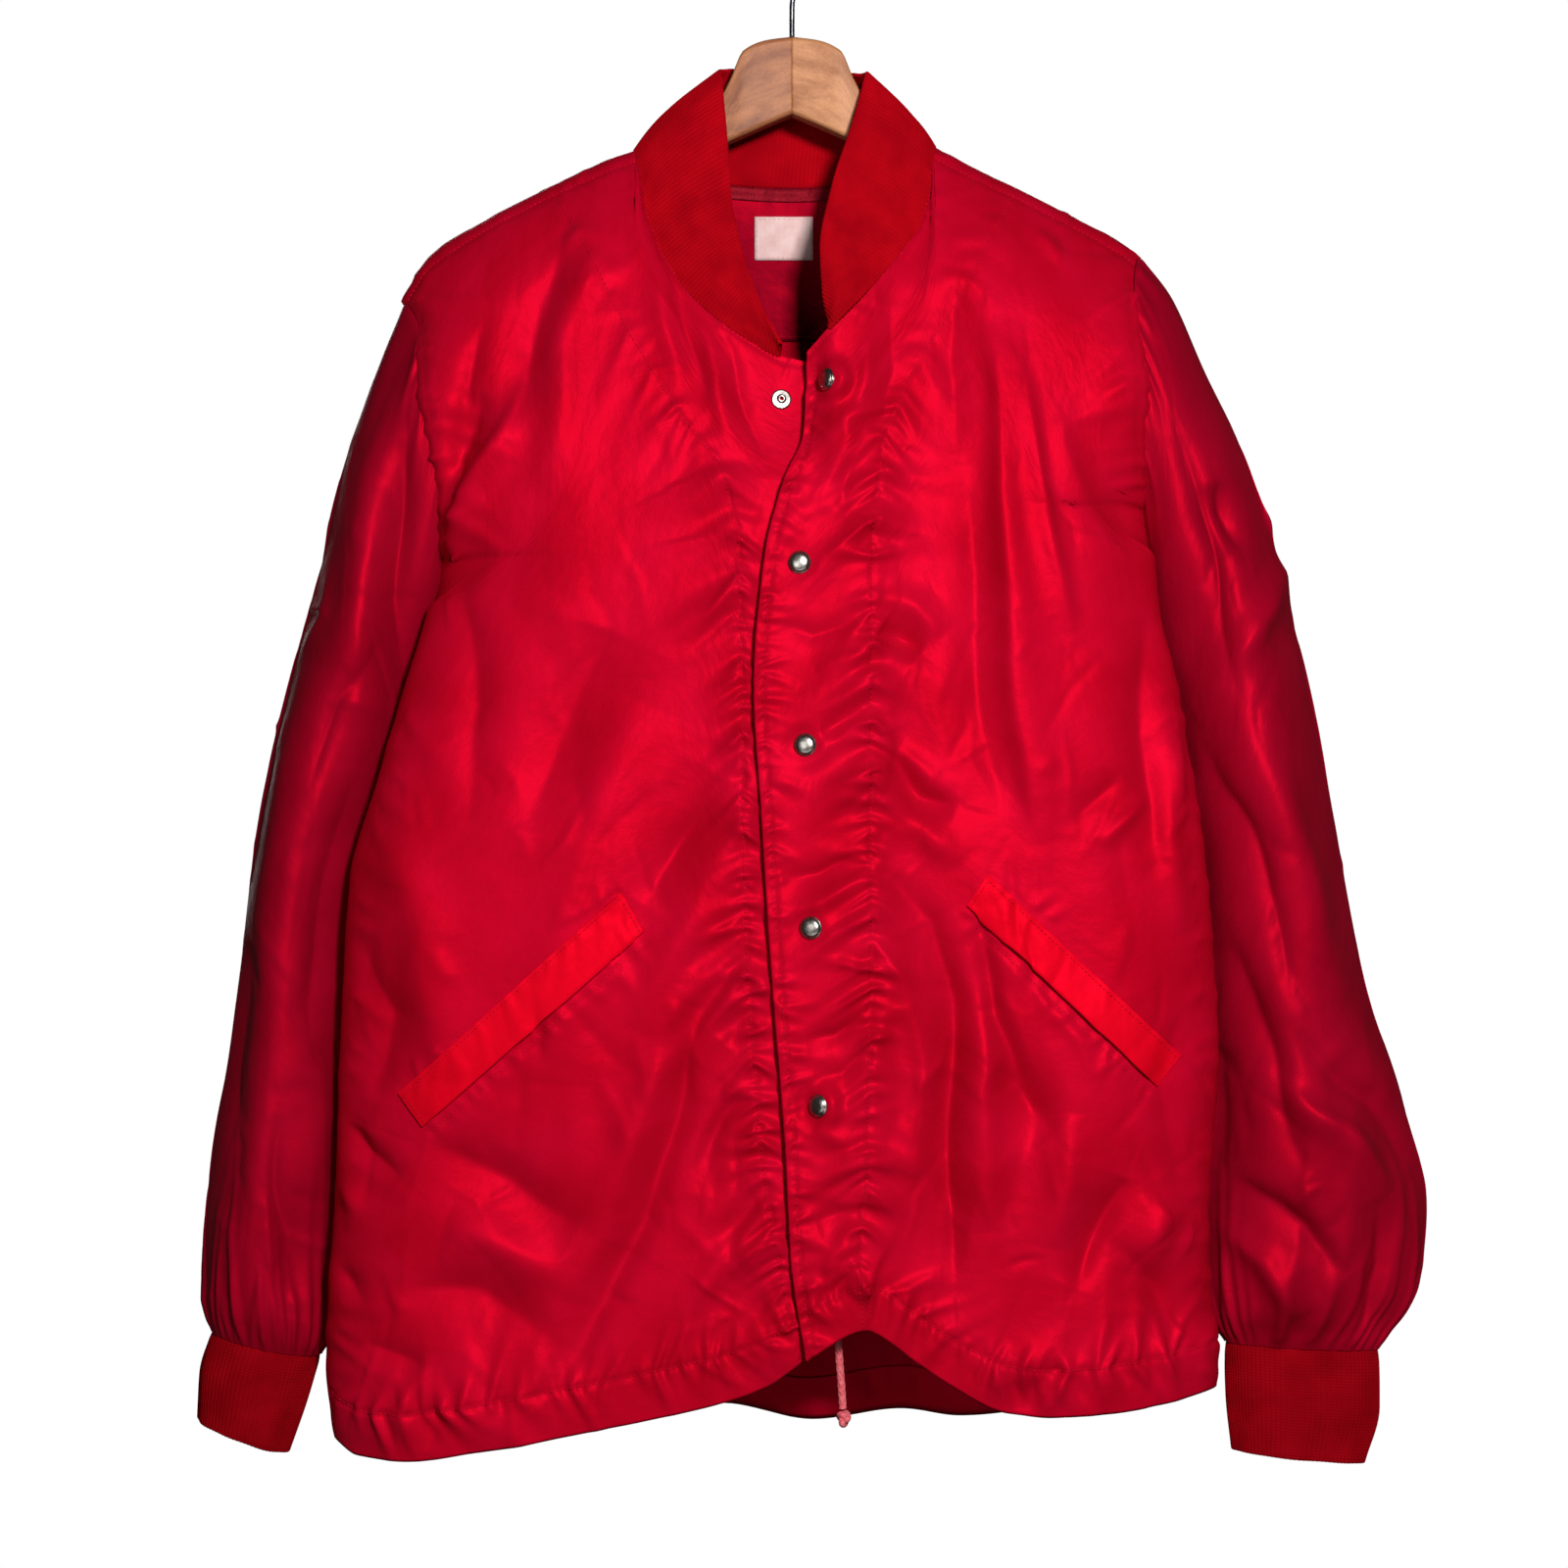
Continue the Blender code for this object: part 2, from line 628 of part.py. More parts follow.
def sheet_normals(rows):
    """The normal at each point of a grid, by its neighbours. It points out of the garment."""
    normals = []
    for i, row in enumerate(rows):
        line = []
        for j in range(len(row)):
            across = row[min(j + 1, len(row) - 1)] - row[max(j - 1, 0)]
            down = rows[min(i + 1, len(rows) - 1)][j] - rows[max(i - 1, 0)][j]
            line.append(down.cross(across).normalized())
        normals.append(line)
    return normals


def add_faces(bm, rows, wrap):
    """Quads between rows of points."""
    made = [[bm.verts.new(point) for point in row] for row in rows]
    for upper, lower in zip(made, made[1:]):
        for j in range(len(upper) if wrap else len(upper) - 1):
            k = (j + 1) % len(upper)
            bm.faces.new((upper[j], lower[j], lower[k], upper[k]))
    return made


def finish(name, bm, finish_name, parts):
    """Scale a mesh to metres, and link it as a named piece of the windbreaker."""
    bmesh.ops.scale(bm, vec=(MM, MM, MM), verts=bm.verts)
    mesh = bpy.data.meshes.new(name)
    bm.to_mesh(mesh)
    bm.free()
    mesh.shade_smooth()
    mesh.set_sharp_from_angle(angle=math.radians(50))
    mesh.materials.append(material(finish_name))
    piece = bpy.data.objects.new(name, mesh)
    parts.objects.link(piece)
    return piece


def wall(name, rows, thickness, finish_name, parts, wrap=False):
    """A wall of cloth through rows of points, half of its thickness on each side."""
    bm = bmesh.new()
    add_faces(bm, rows, wrap)
    piece = finish(name, bm, finish_name, parts)
    solidify = piece.modifiers.new("Wall", "SOLIDIFY")
    solidify.thickness = thickness * MM
    solidify.offset = 0.0
    solidify.use_even_offset = False
    return piece


FINISHES = {
    "nylon": ((0.58, 0.004, 0.018), 0.42, 0.0),
    "rib_knit": ((0.33, 0.004, 0.012), 0.85, 0.0),
    "woven_label": ((0.80, 0.66, 0.64), 0.8, 0.0),
    "nickel": ((0.66, 0.65, 0.62), 0.25, 1.0),
    "beech": ((0.60, 0.33, 0.18), 0.5, 0.0),
    "steel": ((0.60, 0.61, 0.62), 0.28, 1.0),
    "cotton_cord": ((0.60, 0.07, 0.09), 0.85, 0.0),
}


def material(name):
    """The named finish, made once."""
    if name in bpy.data.materials:
        return bpy.data.materials[name]
    colour, roughness, metallic = FINISHES[name]
    made = bpy.data.materials.new(name)
    made.use_nodes = True
    shader = made.node_tree.nodes["Principled BSDF"]
    shader.inputs["Base Color"].default_value = (*colour, 1.0)
    shader.inputs["Roughness"].default_value = roughness
    shader.inputs["Metallic"].default_value = metallic
    made.diffuse_color = (*colour, 1.0)
    return made


def surface_tree(rows):
    """The faces of a panel, to find the place on it in front of or behind a point."""
    bm = bmesh.new()
    add_faces(bm, rows, False)
    bm.normal_update()
    tree = BVHTree.FromBMesh(bm)
    bm.free()
    return tree


def on_surface(tree, x, z, from_y=-500.0):
    """The panel's point at a place in the front view, looking along Y from the given depth."""
    place, normal, _, _ = tree.ray_cast(Vector((x, from_y, z)), Vector((0, 1, 0)))
    return place, normal if normal.y < 0 else -normal


def casing_rows(rows):
    """The turned-up hem: the panel's lowest rows, moved inside."""
    inside = CLOTH + LIE
    normals = sheet_normals(rows)
    strip = [[point - normal * inside for point, normal in zip(row, line)]
             for row, line in zip(rows[-3:], normals[-3:])]
    for row in strip:
        row[0] = row[0].lerp(row[1], CASING_END)
        row[-1] = row[-1].lerp(row[-2], CASING_END)
    return strip


def welt_rows(side, tree):
    """A pocket welt on a front, between its upper and lower edges."""
    top_in, foot_in, top_out, foot_out = [Vector(corner) for corner in POCKET[side]]
    lift = (CLOTH + WELT) / 2 + WELT_LIE
    rows = []
    for i in range(WELT_ROWS + 1):
        row = []
        for j in range(WELT_COLUMNS + 1):
            share = j / WELT_COLUMNS
            upper = top_in.lerp(top_out, share)
            lower = foot_in.lerp(foot_out, share)
            x, z = upper.lerp(lower, i / WELT_ROWS)
            place, _ = on_surface(tree, x, z)
            row.append(place + Vector((0, -lift, 0)))
        rows.append(row)
    return rows if side == "left" else [row[::-1] for row in rows]


def facing_rows(tree):
    """The back neck's facing, inside the back from just under the neck seam."""
    lift = CLOTH + LIE
    rows = []
    for i in range(6):
        row = []
        for j in range(9):
            x = mix(*FACING_SIDES, j / 8)
            top = read(BACK_NECK, x, "z") - 6
            z = mix(top, FACING_FOOT, i / 5)
            place, _ = on_surface(tree, x, z, from_y=-8.0)
            row.append(place + Vector((0, -lift, 0)))
        rows.append(row[::-1])
    return rows


def label_rows(tree):
    """The neck label, on the facing. It is bare."""
    low_x, high_x, low_z, high_z = LABEL_BOX
    lift = (CLOTH + LABEL) / 2 + LIE
    rows = []
    for i in range(3):
        row = []
        for j in range(4):
            place, _ = on_surface(tree, mix(low_x, high_x, j / 3), mix(high_z, low_z, i / 2), -8.0)
            row.append(place + Vector((0, -lift, 0)))
        rows.append(row)
    return rows


def turned(name, profile, place, outward, finish_name, parts):
    """A turned piece: a profile of (radius, rise), about an axis that points outward."""
    bm = bmesh.new()
    points = [bm.verts.new((radius * MM, 0, rise * MM)) for radius, rise in profile]
    ring = len(profile) > 2 and profile[0][0] > 0
    pairs = list(zip(points, points[1:])) + ([(points[-1], points[0])] if ring else [])
    for pair in pairs:
        bm.edges.new(pair)
    mesh = bpy.data.meshes.new(name)
    bm.to_mesh(mesh)
    bm.free()
    mesh.materials.append(material(finish_name))
    piece = bpy.data.objects.new(name, mesh)
    turn = outward.to_track_quat("Z", "Y").to_matrix().to_4x4()
    piece.matrix_world = Matrix.Translation(place * MM) @ turn
    parts.objects.link(piece)
    screw = piece.modifiers.new("Turn", "SCREW")
    screw.steps = screw.render_steps = TURN_STEPS
    screw.use_merge_vertices = True
    screw.merge_threshold = 0.00002
    return piece


CAP_PROFILE = [
    (0.0, CAP_RISE), (3.0, CAP_RISE - 0.35), (5.4, 1.6), (CAP_RADIUS, 0.5), (5.9, 0.0),
    (0.0, 0.0),
]
STUD_PROFILE = [
    (0.9, STUD_PLATE + STUD_RISE), (1.8, STUD_PLATE + STUD_RISE), (STUD_POST, 2.0),
    (1.9, STUD_PLATE), (STUD_RADIUS - 0.6, STUD_PLATE), (STUD_RADIUS, 0.0), (0.9, 0.0),
]
SOCKET_PROFILE = [
    (STUD_POST + 0.5, SOCKET_RISE), (4.6, SOCKET_RISE), (5.0, 0.0), (STUD_POST + 0.5, 0.0),
]
BACK_PROFILE = [(1.6, 0.9), (4.4, 0.9), (BACK_RADIUS, 0.0), (1.6, 0.0)]


def snap_half(prefix, number, outer_profile, inner_profile, tree, snap, names, parts):
    """The two pieces of a snap that grip one layer of cloth, one on each face of it."""
    place, normal = on_surface(tree, snap.x, snap.z)
    lift = CLOTH / 2 + SEAM + LIE
    outer, inner = names
    turned(f"{prefix}_{outer}_{number}", outer_profile, place + normal * lift, normal,
           "nickel", parts)
    turned(f"{prefix}_{inner}_{number}", inner_profile, place - normal * lift, -normal,
           "nickel", parts)


def make_snaps(right_tree, left_tree, parts):
    caps = [OPEN_CAP] + SNAPS
    studs = [OPEN_STUD] + SNAPS
    for number, (cap, stud) in enumerate(zip(caps, studs), start=1):
        snap_half("snap", number, CAP_PROFILE, SOCKET_PROFILE, left_tree, cap,
                  ("cap", "socket"), parts)
        snap_half("snap", number, STUD_PROFILE, BACK_PROFILE, right_tree, stud,
                  ("stud", "back"), parts)


def make_arm(side, parts):
    """One arm of the hanger, through eight-sided sections from the middle to its tip."""
    turn = -1 if side == "right" else 1
    rings = []
    for row in ARM:
        chamfer = min(ARM_CHAMFER, row.half / 2)
        middle_z = (row.top + row.foot) / 2
        tall = (row.top - row.foot) / 2
        corners = [
            (-row.half, tall - chamfer), (chamfer - row.half, tall), (row.half - chamfer, tall),
            (row.half, tall - chamfer), (row.half, chamfer - tall), (row.half - chamfer, -tall),
            (chamfer - row.half, -tall), (-row.half, chamfer - tall),
        ]
        rings.append([Vector((turn * row.x, row.y + y, middle_z + z)) for y, z in corners])
    bm = bmesh.new()
    made = add_faces(bm, rings, True)
    bm.faces.new(made[0])
    bm.faces.new(made[-1][::-1])
    bmesh.ops.recalc_face_normals(bm, faces=bm.faces)
    return finish(f"hanger_arm_{side}", bm, "beech", parts)


def wire(name, points, radius, resolution, finish_name, parts):
    """A round wire or cord along a line of points."""
    curve = bpy.data.curves.new(name, "CURVE")
    curve.dimensions = "3D"
    curve.bevel_depth = radius * MM
    curve.bevel_resolution = resolution
    curve.use_fill_caps = True
    spline = curve.splines.new("POLY")
    spline.points.add(len(points) - 1)
    for spot, point in zip(spline.points, points):
        spot.co = (*(Vector(point) * MM), 1.0)
    curve.materials.append(material(finish_name))
    piece = bpy.data.objects.new(name, curve)
    parts.objects.link(piece)
    return piece


def hook_points():
    """The hook's wire: up out of the wood, then round over the rail."""
    radius = HOOK_INSIDE + WIRE
    points = [(x, 0.0, z) for x, z in HOOK_STEM]
    for i in range(HOOK_STEPS + 1):
        angle = math.radians(mix(*HOOK_SWEEP, i / HOOK_STEPS))
        x = radius * math.cos(angle)
        z = radius * math.sin(angle) - HOOK_INSIDE
        points.append((x, 0.0, z))
    return points


def smooth_route(points, steps):
    """Points on a smooth curve through a route's own points."""
    ends = [points[0]] + points + [points[-1]]
    route = []
    for a, b, c, d in zip(ends, ends[1:], ends[2:], ends[3:]):
        for i in range(steps):
            t = i / steps
            spot = []
            for p, q, r, s in zip(a, b, c, d):
                spot.append(0.5 * (2 * q + (r - p) * t + (2 * p - 5 * q + 4 * r - s) * t ** 2
                                   + (3 * q - p - 3 * r + s) * t ** 3))
            route.append(tuple(spot))
    return route + [points[-1]]


def make_knot(parts):
    """The knot at the cord's end."""
    bm = bmesh.new()
    bmesh.ops.create_uvsphere(bm, u_segments=12, v_segments=8, radius=1.0)
    bmesh.ops.scale(bm, vec=KNOT_SIZE, verts=bm.verts)
    bmesh.ops.translate(bm, vec=KNOT_AT, verts=bm.verts)
    return finish("drawcord_knot", bm, "cotton_cord", parts)


def clear_scene():
    for old in list(bpy.data.objects):
        bpy.data.objects.remove(old, do_unlink=True)


def main():
    clear_scene()
    parts = bpy.data.collections.new("windbreaker")
    bpy.context.scene.collection.children.link(parts)

    fronts = {}
    trees = {}
    for side in ("right", "left"):
        rows = front_rows(side)
        fronts[side] = rows if side == "right" else [row[::-1] for row in rows]
        trees[side] = surface_tree(fronts[side])
        wall(f"front_{side}", fronts[side], CLOTH, "nylon", parts)
        wall(f"casing_{side}", casing_rows(fronts[side]), CLOTH, "nylon", parts)
        wall(f"welt_{side}", welt_rows(side, trees[side]), WELT, "nylon", parts)
    back = [row[::-1] for row in back_rows()]
    wall("back", back, CLOTH, "nylon", parts)
    wall("casing_back", casing_rows(back), CLOTH, "nylon", parts)
    facing = facing_rows(surface_tree(back))
    wall("back_facing", facing, CLOTH, "nylon", parts)
    wall("neck_label", label_rows(surface_tree(facing)), LABEL, "woven_label", parts)

    first, last = SHOULDER_COLUMNS, SHOULDER_COLUMNS + NECK_COLUMNS + 1
    back_neck = back[0][SHOULDER_COLUMNS:-SHOULDER_COLUMNS][::-1]
    right_neck = fronts["right"][0][first:last][::-1]
    left_neck = fronts["left"][0][::-1][first:last]
    neck_line = right_neck + back_neck[1:-1] + left_neck
    wall("collar", collar_rows(neck_line), KNIT, "rib_knit", parts)

    for side in ("right", "left"):
        wall(f"sleeve_{side}", sleeve_rows(side), CLOTH, "nylon", parts, wrap=True)
        wall(f"cuff_{side}", cuff_rows(side), KNIT, "rib_knit", parts, wrap=True)
        make_arm(side, parts)

    make_snaps(trees["right"], trees["left"], parts)
    wire("hanger_hook", hook_points(), WIRE, 2, "steel", parts)
    wire("drawcord", smooth_route(CORD_ROUTE, 2), CORD / 2, 2, "cotton_cord", parts)
    make_knot(parts)


main()
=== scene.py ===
"""The looks of a nylon windbreaker that hangs on a beech hanger.

The tables are in millimetres, and each mesh is scaled to metres as it is made. +Z is up, the
front faces -Y, and right and left are the wearer's. Each panel is worked out from the sizes of
its solid on a fine grid, and then its folds, its puckered seams and its creases are raised along
its own normals. A relief is millimetres out of the cloth; a fold with a negative rise is a trough.
"""

from collections import namedtuple
import math
import random

import bpy
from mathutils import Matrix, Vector
from mathutils.bvhtree import BVHTree
import numpy as np

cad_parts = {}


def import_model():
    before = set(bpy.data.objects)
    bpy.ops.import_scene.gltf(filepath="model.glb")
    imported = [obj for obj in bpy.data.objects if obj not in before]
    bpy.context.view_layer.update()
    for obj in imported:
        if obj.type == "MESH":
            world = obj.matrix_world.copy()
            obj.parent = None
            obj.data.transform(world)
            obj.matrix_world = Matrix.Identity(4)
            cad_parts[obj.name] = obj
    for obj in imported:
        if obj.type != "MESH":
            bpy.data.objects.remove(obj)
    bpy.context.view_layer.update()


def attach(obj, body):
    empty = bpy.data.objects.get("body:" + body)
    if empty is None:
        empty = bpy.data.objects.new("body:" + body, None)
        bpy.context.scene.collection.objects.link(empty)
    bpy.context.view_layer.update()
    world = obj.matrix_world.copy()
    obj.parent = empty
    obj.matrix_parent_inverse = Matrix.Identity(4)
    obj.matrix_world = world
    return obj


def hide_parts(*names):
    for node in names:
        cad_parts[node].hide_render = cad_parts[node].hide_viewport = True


MM = 0.001

# The camera stands level, square to the front, and the photograph is 872 mm wide at its aim.
CAMERA_AT = Vector((-0.0044, -2.0, -0.476))
VIEW_WIDTH = 0.872
SENSOR = 36.0

# The body's section: where the shoulder's ridge, the side seam and the fold beside it lie, how far
# the seam is tucked in, how wide the panel's rounded corner and its rounded top are, and how far
# an armhole bows to the front and to the back.
RIDGE_Y = -3.0
SEAM_Y = 2.0
FOLD_Y = 22.0
TUCK_DEPTH = 14.0
CORNER = 90.0
ROUND = 72.0
ARMHOLE_REACH = 32.0

# A panel's columns spread out below its top: at the neck from a height on and over a length, at
# the side over a length, and to these shares of the panel's width for the neck point's column and
# for the one at the collar's end.
NECK_SPREAD = (-150.0, 120.0)
SIDE_SPREAD = 30.0
LOW_NECK = 0.60
LOW_COLLAR = 0.90
LOW_BACK_NECK = 0.33

# How far the left front stands out over the right one, and how wide it bends there.
LAP = 8.0
LAP_BLEND = 40.0

# The cloth's drawn thickness, how deep its turned edges lie, and the hem's seam above its edge.
CLOTH = 0.4
TURNED_IN = 2.0
HEM_STITCH = 25.5


def table(kind, *values):
    """A table of one kind of row."""
    return [kind(*row) for row in values]


Edge = namedtuple("Edge", "z x")
Depth = namedtuple("Depth", "z front back")
Line = namedtuple("Line", "x z")
Neck = namedtuple("Neck", "x y z")
Armhole = namedtuple("Armhole", "top foot")

EDGE = {
    "right": table(Edge,
        (-208, -217), (-225, -208), (-255, -206), (-294, -198), (-320, -194), (-352, -194), (-386, -202),
        (-425, -214), (-474, -228), (-528, -243), (-637, -249), (-698, -251), (-795, -256), (-841, -250)),
    "left": table(Edge,
        (-184, 194), (-200, 191), (-225, 191), (-253, 194), (-300, 194), (-324, 196), (-346, 199),
        (-384, 203), (-412, 210), (-453, 217), (-525, 228), (-626, 234), (-717, 229), (-806, 232)),
}
ARMHOLE = {"right": Armhole(-208, -352), "left": Armhole(-184, -324)}
INWARD = {"right": 1, "left": -1}
FRONT_EDGE = {
    "right": table(Edge,
        (-247, 14), (-267, 17), (-300, 24), (-357, 30), (-455, 33), (-553, 36), (-648, 39), (-786, 34)),
    "left": table(Edge,
        (-242, 8), (-285, 6), (-313, -5), (-352, -15), (-423, -21), (-491, -17), (-584, -11), (-672, -4),
        (-731, -1), (-785, 7)),
}
DEPTH = table(Depth,
    (-120, 24, 24), (-208, 44, 38), (-260, 52, 44), (-350, 60, 50), (-450, 64, 54), (-620, 68, 58),
    (-760, 67, 58), (-841, 64, 56))
SHOULDER = {
    "right": table(Line,
        (-217, -208), (-201, -183), (-168, -162), (-135, -145), (-102, -130), (-86, -124)),
    "left": table(Line,
        (194, -184), (180, -174), (159, -163), (126, -146), (94, -131), (78, -122)),
}
NECK_POINT = {"right": -86.0, "left": 78.0}
COLLAR_END = {"right": -6.0, "left": 20.0}
FRONT_NECK = {
    "right": table(Neck,
        (-86, -3.5, -124), (-84.4, -14, -134), (-80, -23, -160), (-71, -31, -184), (-57, -38, -205),
        (-38, -44, -223), (-20, -47, -235), (-6, -48, -243), (14, -48, -247)),
    "left": table(Neck,
        (78, -3.5, -122), (77.2, -14, -132), (75.5, -22, -150), (70, -29, -167), (59, -36, -184),
        (38, -44, -210), (20, -50, -229), (8, -50, -242)),
}
BACK_NECK = table(Neck,
    (-86, -2.5, -124), (-84, 8, -127), (-70, 19, -131), (-40, 28, -137), (0, 31, -139), (36, 28, -137),
    (64, 19, -130), (76, 8, -126), (78, -2.5, -122))
FRONT_HEM = {
    "right": table(Line,
        (-252, -833), (-236, -841), (-212, -842), (-170, -836), (-100, -823), (-37, -809), (-13, -800),
        (2, -789), (12, -780), (38, -764)),
    "left": table(Line,
        (6, -787), (15, -780), (40, -769), (50, -774), (68, -788), (89, -802), (113, -814), (139, -817),
        (173, -815), (232, -806)),
}
BACK_HEM = table(Line,
    (-252, -833), (-160, -838), (-38, -830), (12, -839), (63, -833), (96, -837), (170, -826), (232, -806))

# How fine the panels' grids are, and how many steps a column takes to find its own end.
ARMHOLE_ROWS = 80
SIDE_ROWS = 330
TUCK_COLUMNS = 13
SHOULDER_COLUMNS = 92
NECK_COLUMNS = 56
EDGE_COLUMNS = 20
BACK_NECK_COLUMNS = 40
SETTLE_STEPS = 30

# Folds in the front view, by the points of their lines. The lean makes one side steeper.
Fold = namedtuple("Fold", "line width rise lean", defaults=(0.0,))
FRONT_FOLDS = {
    "right": table(Fold,
        ([(-27, -555), (-57, -624), (-69, -667), (-82, -711), (-100, -755), (-128, -795)], 12, -8, 0.35),
        ([(-44, -560), (-78, -640), (-100, -715), (-122, -758)], 15, 5, -0.2),
        ([(-35, -470), (-58, -508), (-77, -541)], 12, -6, 0.3),
        ([(-30, -505), (-62, -560), (-84, -612)], 10, 3.5),
        ([(-102, -392), (-124, -448), (-145, -501)], 24, -6),
        ([(-84, -430), (-120, -540), (-128, -640)], 26, 4),
        ([(-199, -671), (-150, -690), (-110, -713)], 20, -7, 0.3), ([(-190, -715), (-120, -742)], 14, 4),
        ([(-215, -745), (-170, -752), (-131, -771)], 16, -6, 0.2),
        ([(-123, -170), (-141, -249), (-157, -292)], 15, -6, 0.3),
        ([(-104, -168), (-122, -240), (-130, -330)], 12, 3),
        ([(-145, -257), (-161, -290), (-173, -307), (-184, -329), (-196, -352)], 9, 5, -0.4),
        ([(-172, -262), (-186, -300), (-192, -325)], 10, -8),
        ([(-170, -225), (-182, -262), (-190, -300)], 6, -3),
        ([(-57, -213), (-44, -250), (-30, -290)], 6, 2.4),
        ([(-66, -200), (-58, -232), (-40, -275)], 7, -2.6),
        ([(-40, -225), (-26, -262), (-12, -300)], 5, -2.2),
        ([(-74, -186), (-70, -222), (-60, -262)], 6, 2.2),
        ([(-244, -655), (-229, -676), (-212, -690)], 8, -4, 0.3), ([(-250, -690), (-232, -712)], 7, 3),
        ([(-250, -728), (-231, -755)], 7, -3), ([(-230, -775), (-196, -792)], 7, -3),
        ([(-222, -480), (-196, -560), (-190, -640)], 16, 4),
        ([(-238, -560), (-214, -600), (-226, -650)], 12, -4),
        ([(-180, -360), (-168, -430), (-176, -500)], 14, -4),
        ([(-28, -640), (-44, -668), (-50, -700)], 9, -3.4, 0.3),
        ([(-10, -690), (-30, -716), (-36, -745)], 8, -3.4), ([(-20, -600), (-36, -618)], 6, -3),
        ([(-150, -800), (-146, -836)], 6, 1.4), ([(-190, -806), (-196, -838)], 6, -1.6)),
    "left": table(Fold,
        ([(106, -218), (108, -276), (117, -381), (130, -518)], 11, 5, -0.4),
        ([(92, -300), (100, -400), (112, -500)], 12, -4),
        ([(121, -250), (140, -318), (150, -400)], 8, 3.4, 0.4),
        ([(146, -276), (160, -312), (172, -350)], 10, 2.4, 0.4),
        ([(160, -270), (180, -330), (188, -390)], 12, -1.4),
        ([(47, -389), (58, -396), (70, -404)], 9, -6, 0.3), ([(48, -372), (66, -380), (80, -396)], 8, 3),
        ([(53, -446), (60, -465), (69, -480), (89, -487)], 9, -7, 0.3),
        ([(48, -478), (72, -500), (90, -520)], 9, 3.4),
        ([(52, -524), (75, -551), (82, -591), (86, -683), (89, -749)], 9, -9, 0.35),
        ([(46, -545), (60, -580), (70, -630), (66, -690)], 9, 4, -0.2),
        ([(97, -560), (104, -640), (106, -720)], 12, 5),
        ([(97, -545), (106, -602), (127, -639)], 9, -7, 0.3),
        ([(106, -629), (124, -640), (143, -662)], 12, -6, 0.3),
        ([(150, -650), (148, -690), (138, -730)], 12, 4),
        ([(181, -686), (166, -719), (153, -751)], 10, -7, 0.3), ([(200, -700), (186, -745)], 10, 4),
        ([(170, -724), (196, -748), (222, -776)], 12, -5, 0.3),
        ([(164, -513), (178, -496), (191, -481)], 5, 2.6), ([(150, -500), (176, -470)], 7, -2.4),
        ([(133, -173), (148, -190)], 4, 2), ([(90, -200), (84, -250), (86, -300)], 9, -3),
        ([(212, -420), (204, -500), (214, -560)], 10, 4),
        ([(196, -380), (190, -450), (198, -520)], 10, -4),
        ([(212, -600), (200, -640), (208, -700)], 10, -2.6),
        ([(44, -232), (40, -256), (30, -278)], 6, 2.6), ([(56, -214), (56, -250), (46, -286)], 7, -2.6),
        ([(24, -262), (28, -290), (16, -316)], 7, 2.6), ([(30, -300), (24, -330)], 6, -2.4),
        ([(-8, -390), (8, -398), (34, -388)], 6, -2.0), ([(10, -420), (40, -404)], 7, 2.0),
        ([(16, -449), (40, -441)], 5, -3.2, 0.3), ([(-14, -470), (10, -478)], 6, 1.8),
        ([(-8, -530), (14, -526), (40, -511)], 6, -3.6, 0.3), ([(0, -548), (36, -530)], 6, 2.0),
        ([(3, -612), (22, -610), (40, -599)], 6, -3.4, 0.3),
        ([(8, -634), (26, -632), (42, -616)], 6, -3.0), ([(10, -660), (34, -672)], 6, 2.0),
        ([(10, -712), (26, -706), (40, -693)], 9, -5.0, 0.3),
        ([(12, -738), (24, -722), (34, -700)], 6, 2.6), ([(14, -752), (28, -738)], 5, -2.4),
        ([(120, -795), (124, -815)], 6, -1.6), ([(160, -790), (160, -814)], 6, 1.6)),
}
BACK_FOLDS = table(Fold,
    ([(-110, -210), (-136, -330), (-150, -440)], 22, 6, 0.3),
    ([(-70, -260), (-50, -400), (-40, -560)], 20, -6, 0.3),
    ([(10, -240), (40, -380), (60, -520)], 22, 6, -0.3),
    ([(100, -300), (130, -450), (140, -600)], 20, -6, 0.3),
    ([(-178, -460), (-164, -620), (-150, -790)], 18, -7, 0.3),
    ([(-80, -540), (-92, -680), (-100, -810)], 18, 6), ([(10, -520), (4, -660), (0, -810)], 18, -6, 0.3),
    ([(86, -590), (78, -700), (70, -800)], 16, 6), ([(176, -500), (184, -640), (180, -780)], 16, -6, 0.3),
    ([(-176, -250), (-150, -300), (-110, -330)], 10, -5, 0.4),
    ([(160, -236), (140, -290), (96, -330)], 10, -5, -0.4),
    ([(-120, -160), (-96, -200), (-60, -220)], 10, -3), ([(116, -160), (84, -196), (50, -214)], 10, -3),
    ([(-216, -520), (-196, -600), (-206, -690)], 12, 4), ([(206, -500), (196, -580), (204, -690)], 12, 4))

# Sewn lines in the front view: the facing's, the two across the hem's end, and the bar tack. The
# others follow an edge: how far from it they run, and from where to where the front edge's goes.
FACING_STITCH = {
    "right": [(-130, -153), (-110, -187), (-91, -227), (-61, -276), (-39, -302), (-29, -340),
              (-27, -423), (-26, -520), (-24, -580), (-16, -680), (-9, -725), (-3, -755),
              (1, -770)],
    "left": [(122, -150), (105, -184), (90, -213), (64, -254), (49, -291), (43, -340),
             (42, -420), (42, -580), (40, -680), (36, -735), (38, -743)],
}
HEM_SEAM = [[(36, -744), (38.5, -770)], [(40.5, -744), (43, -770)]]
BARTACK = [(61, -782), (64, -791)]
EDGE_STITCH_INSET = 5.0
FRONT_EDGE_RUN = (-250.0, -778.0)
SHOULDER_STITCH_DROP = 8.0
NECK_STITCH_DROP = 3.2

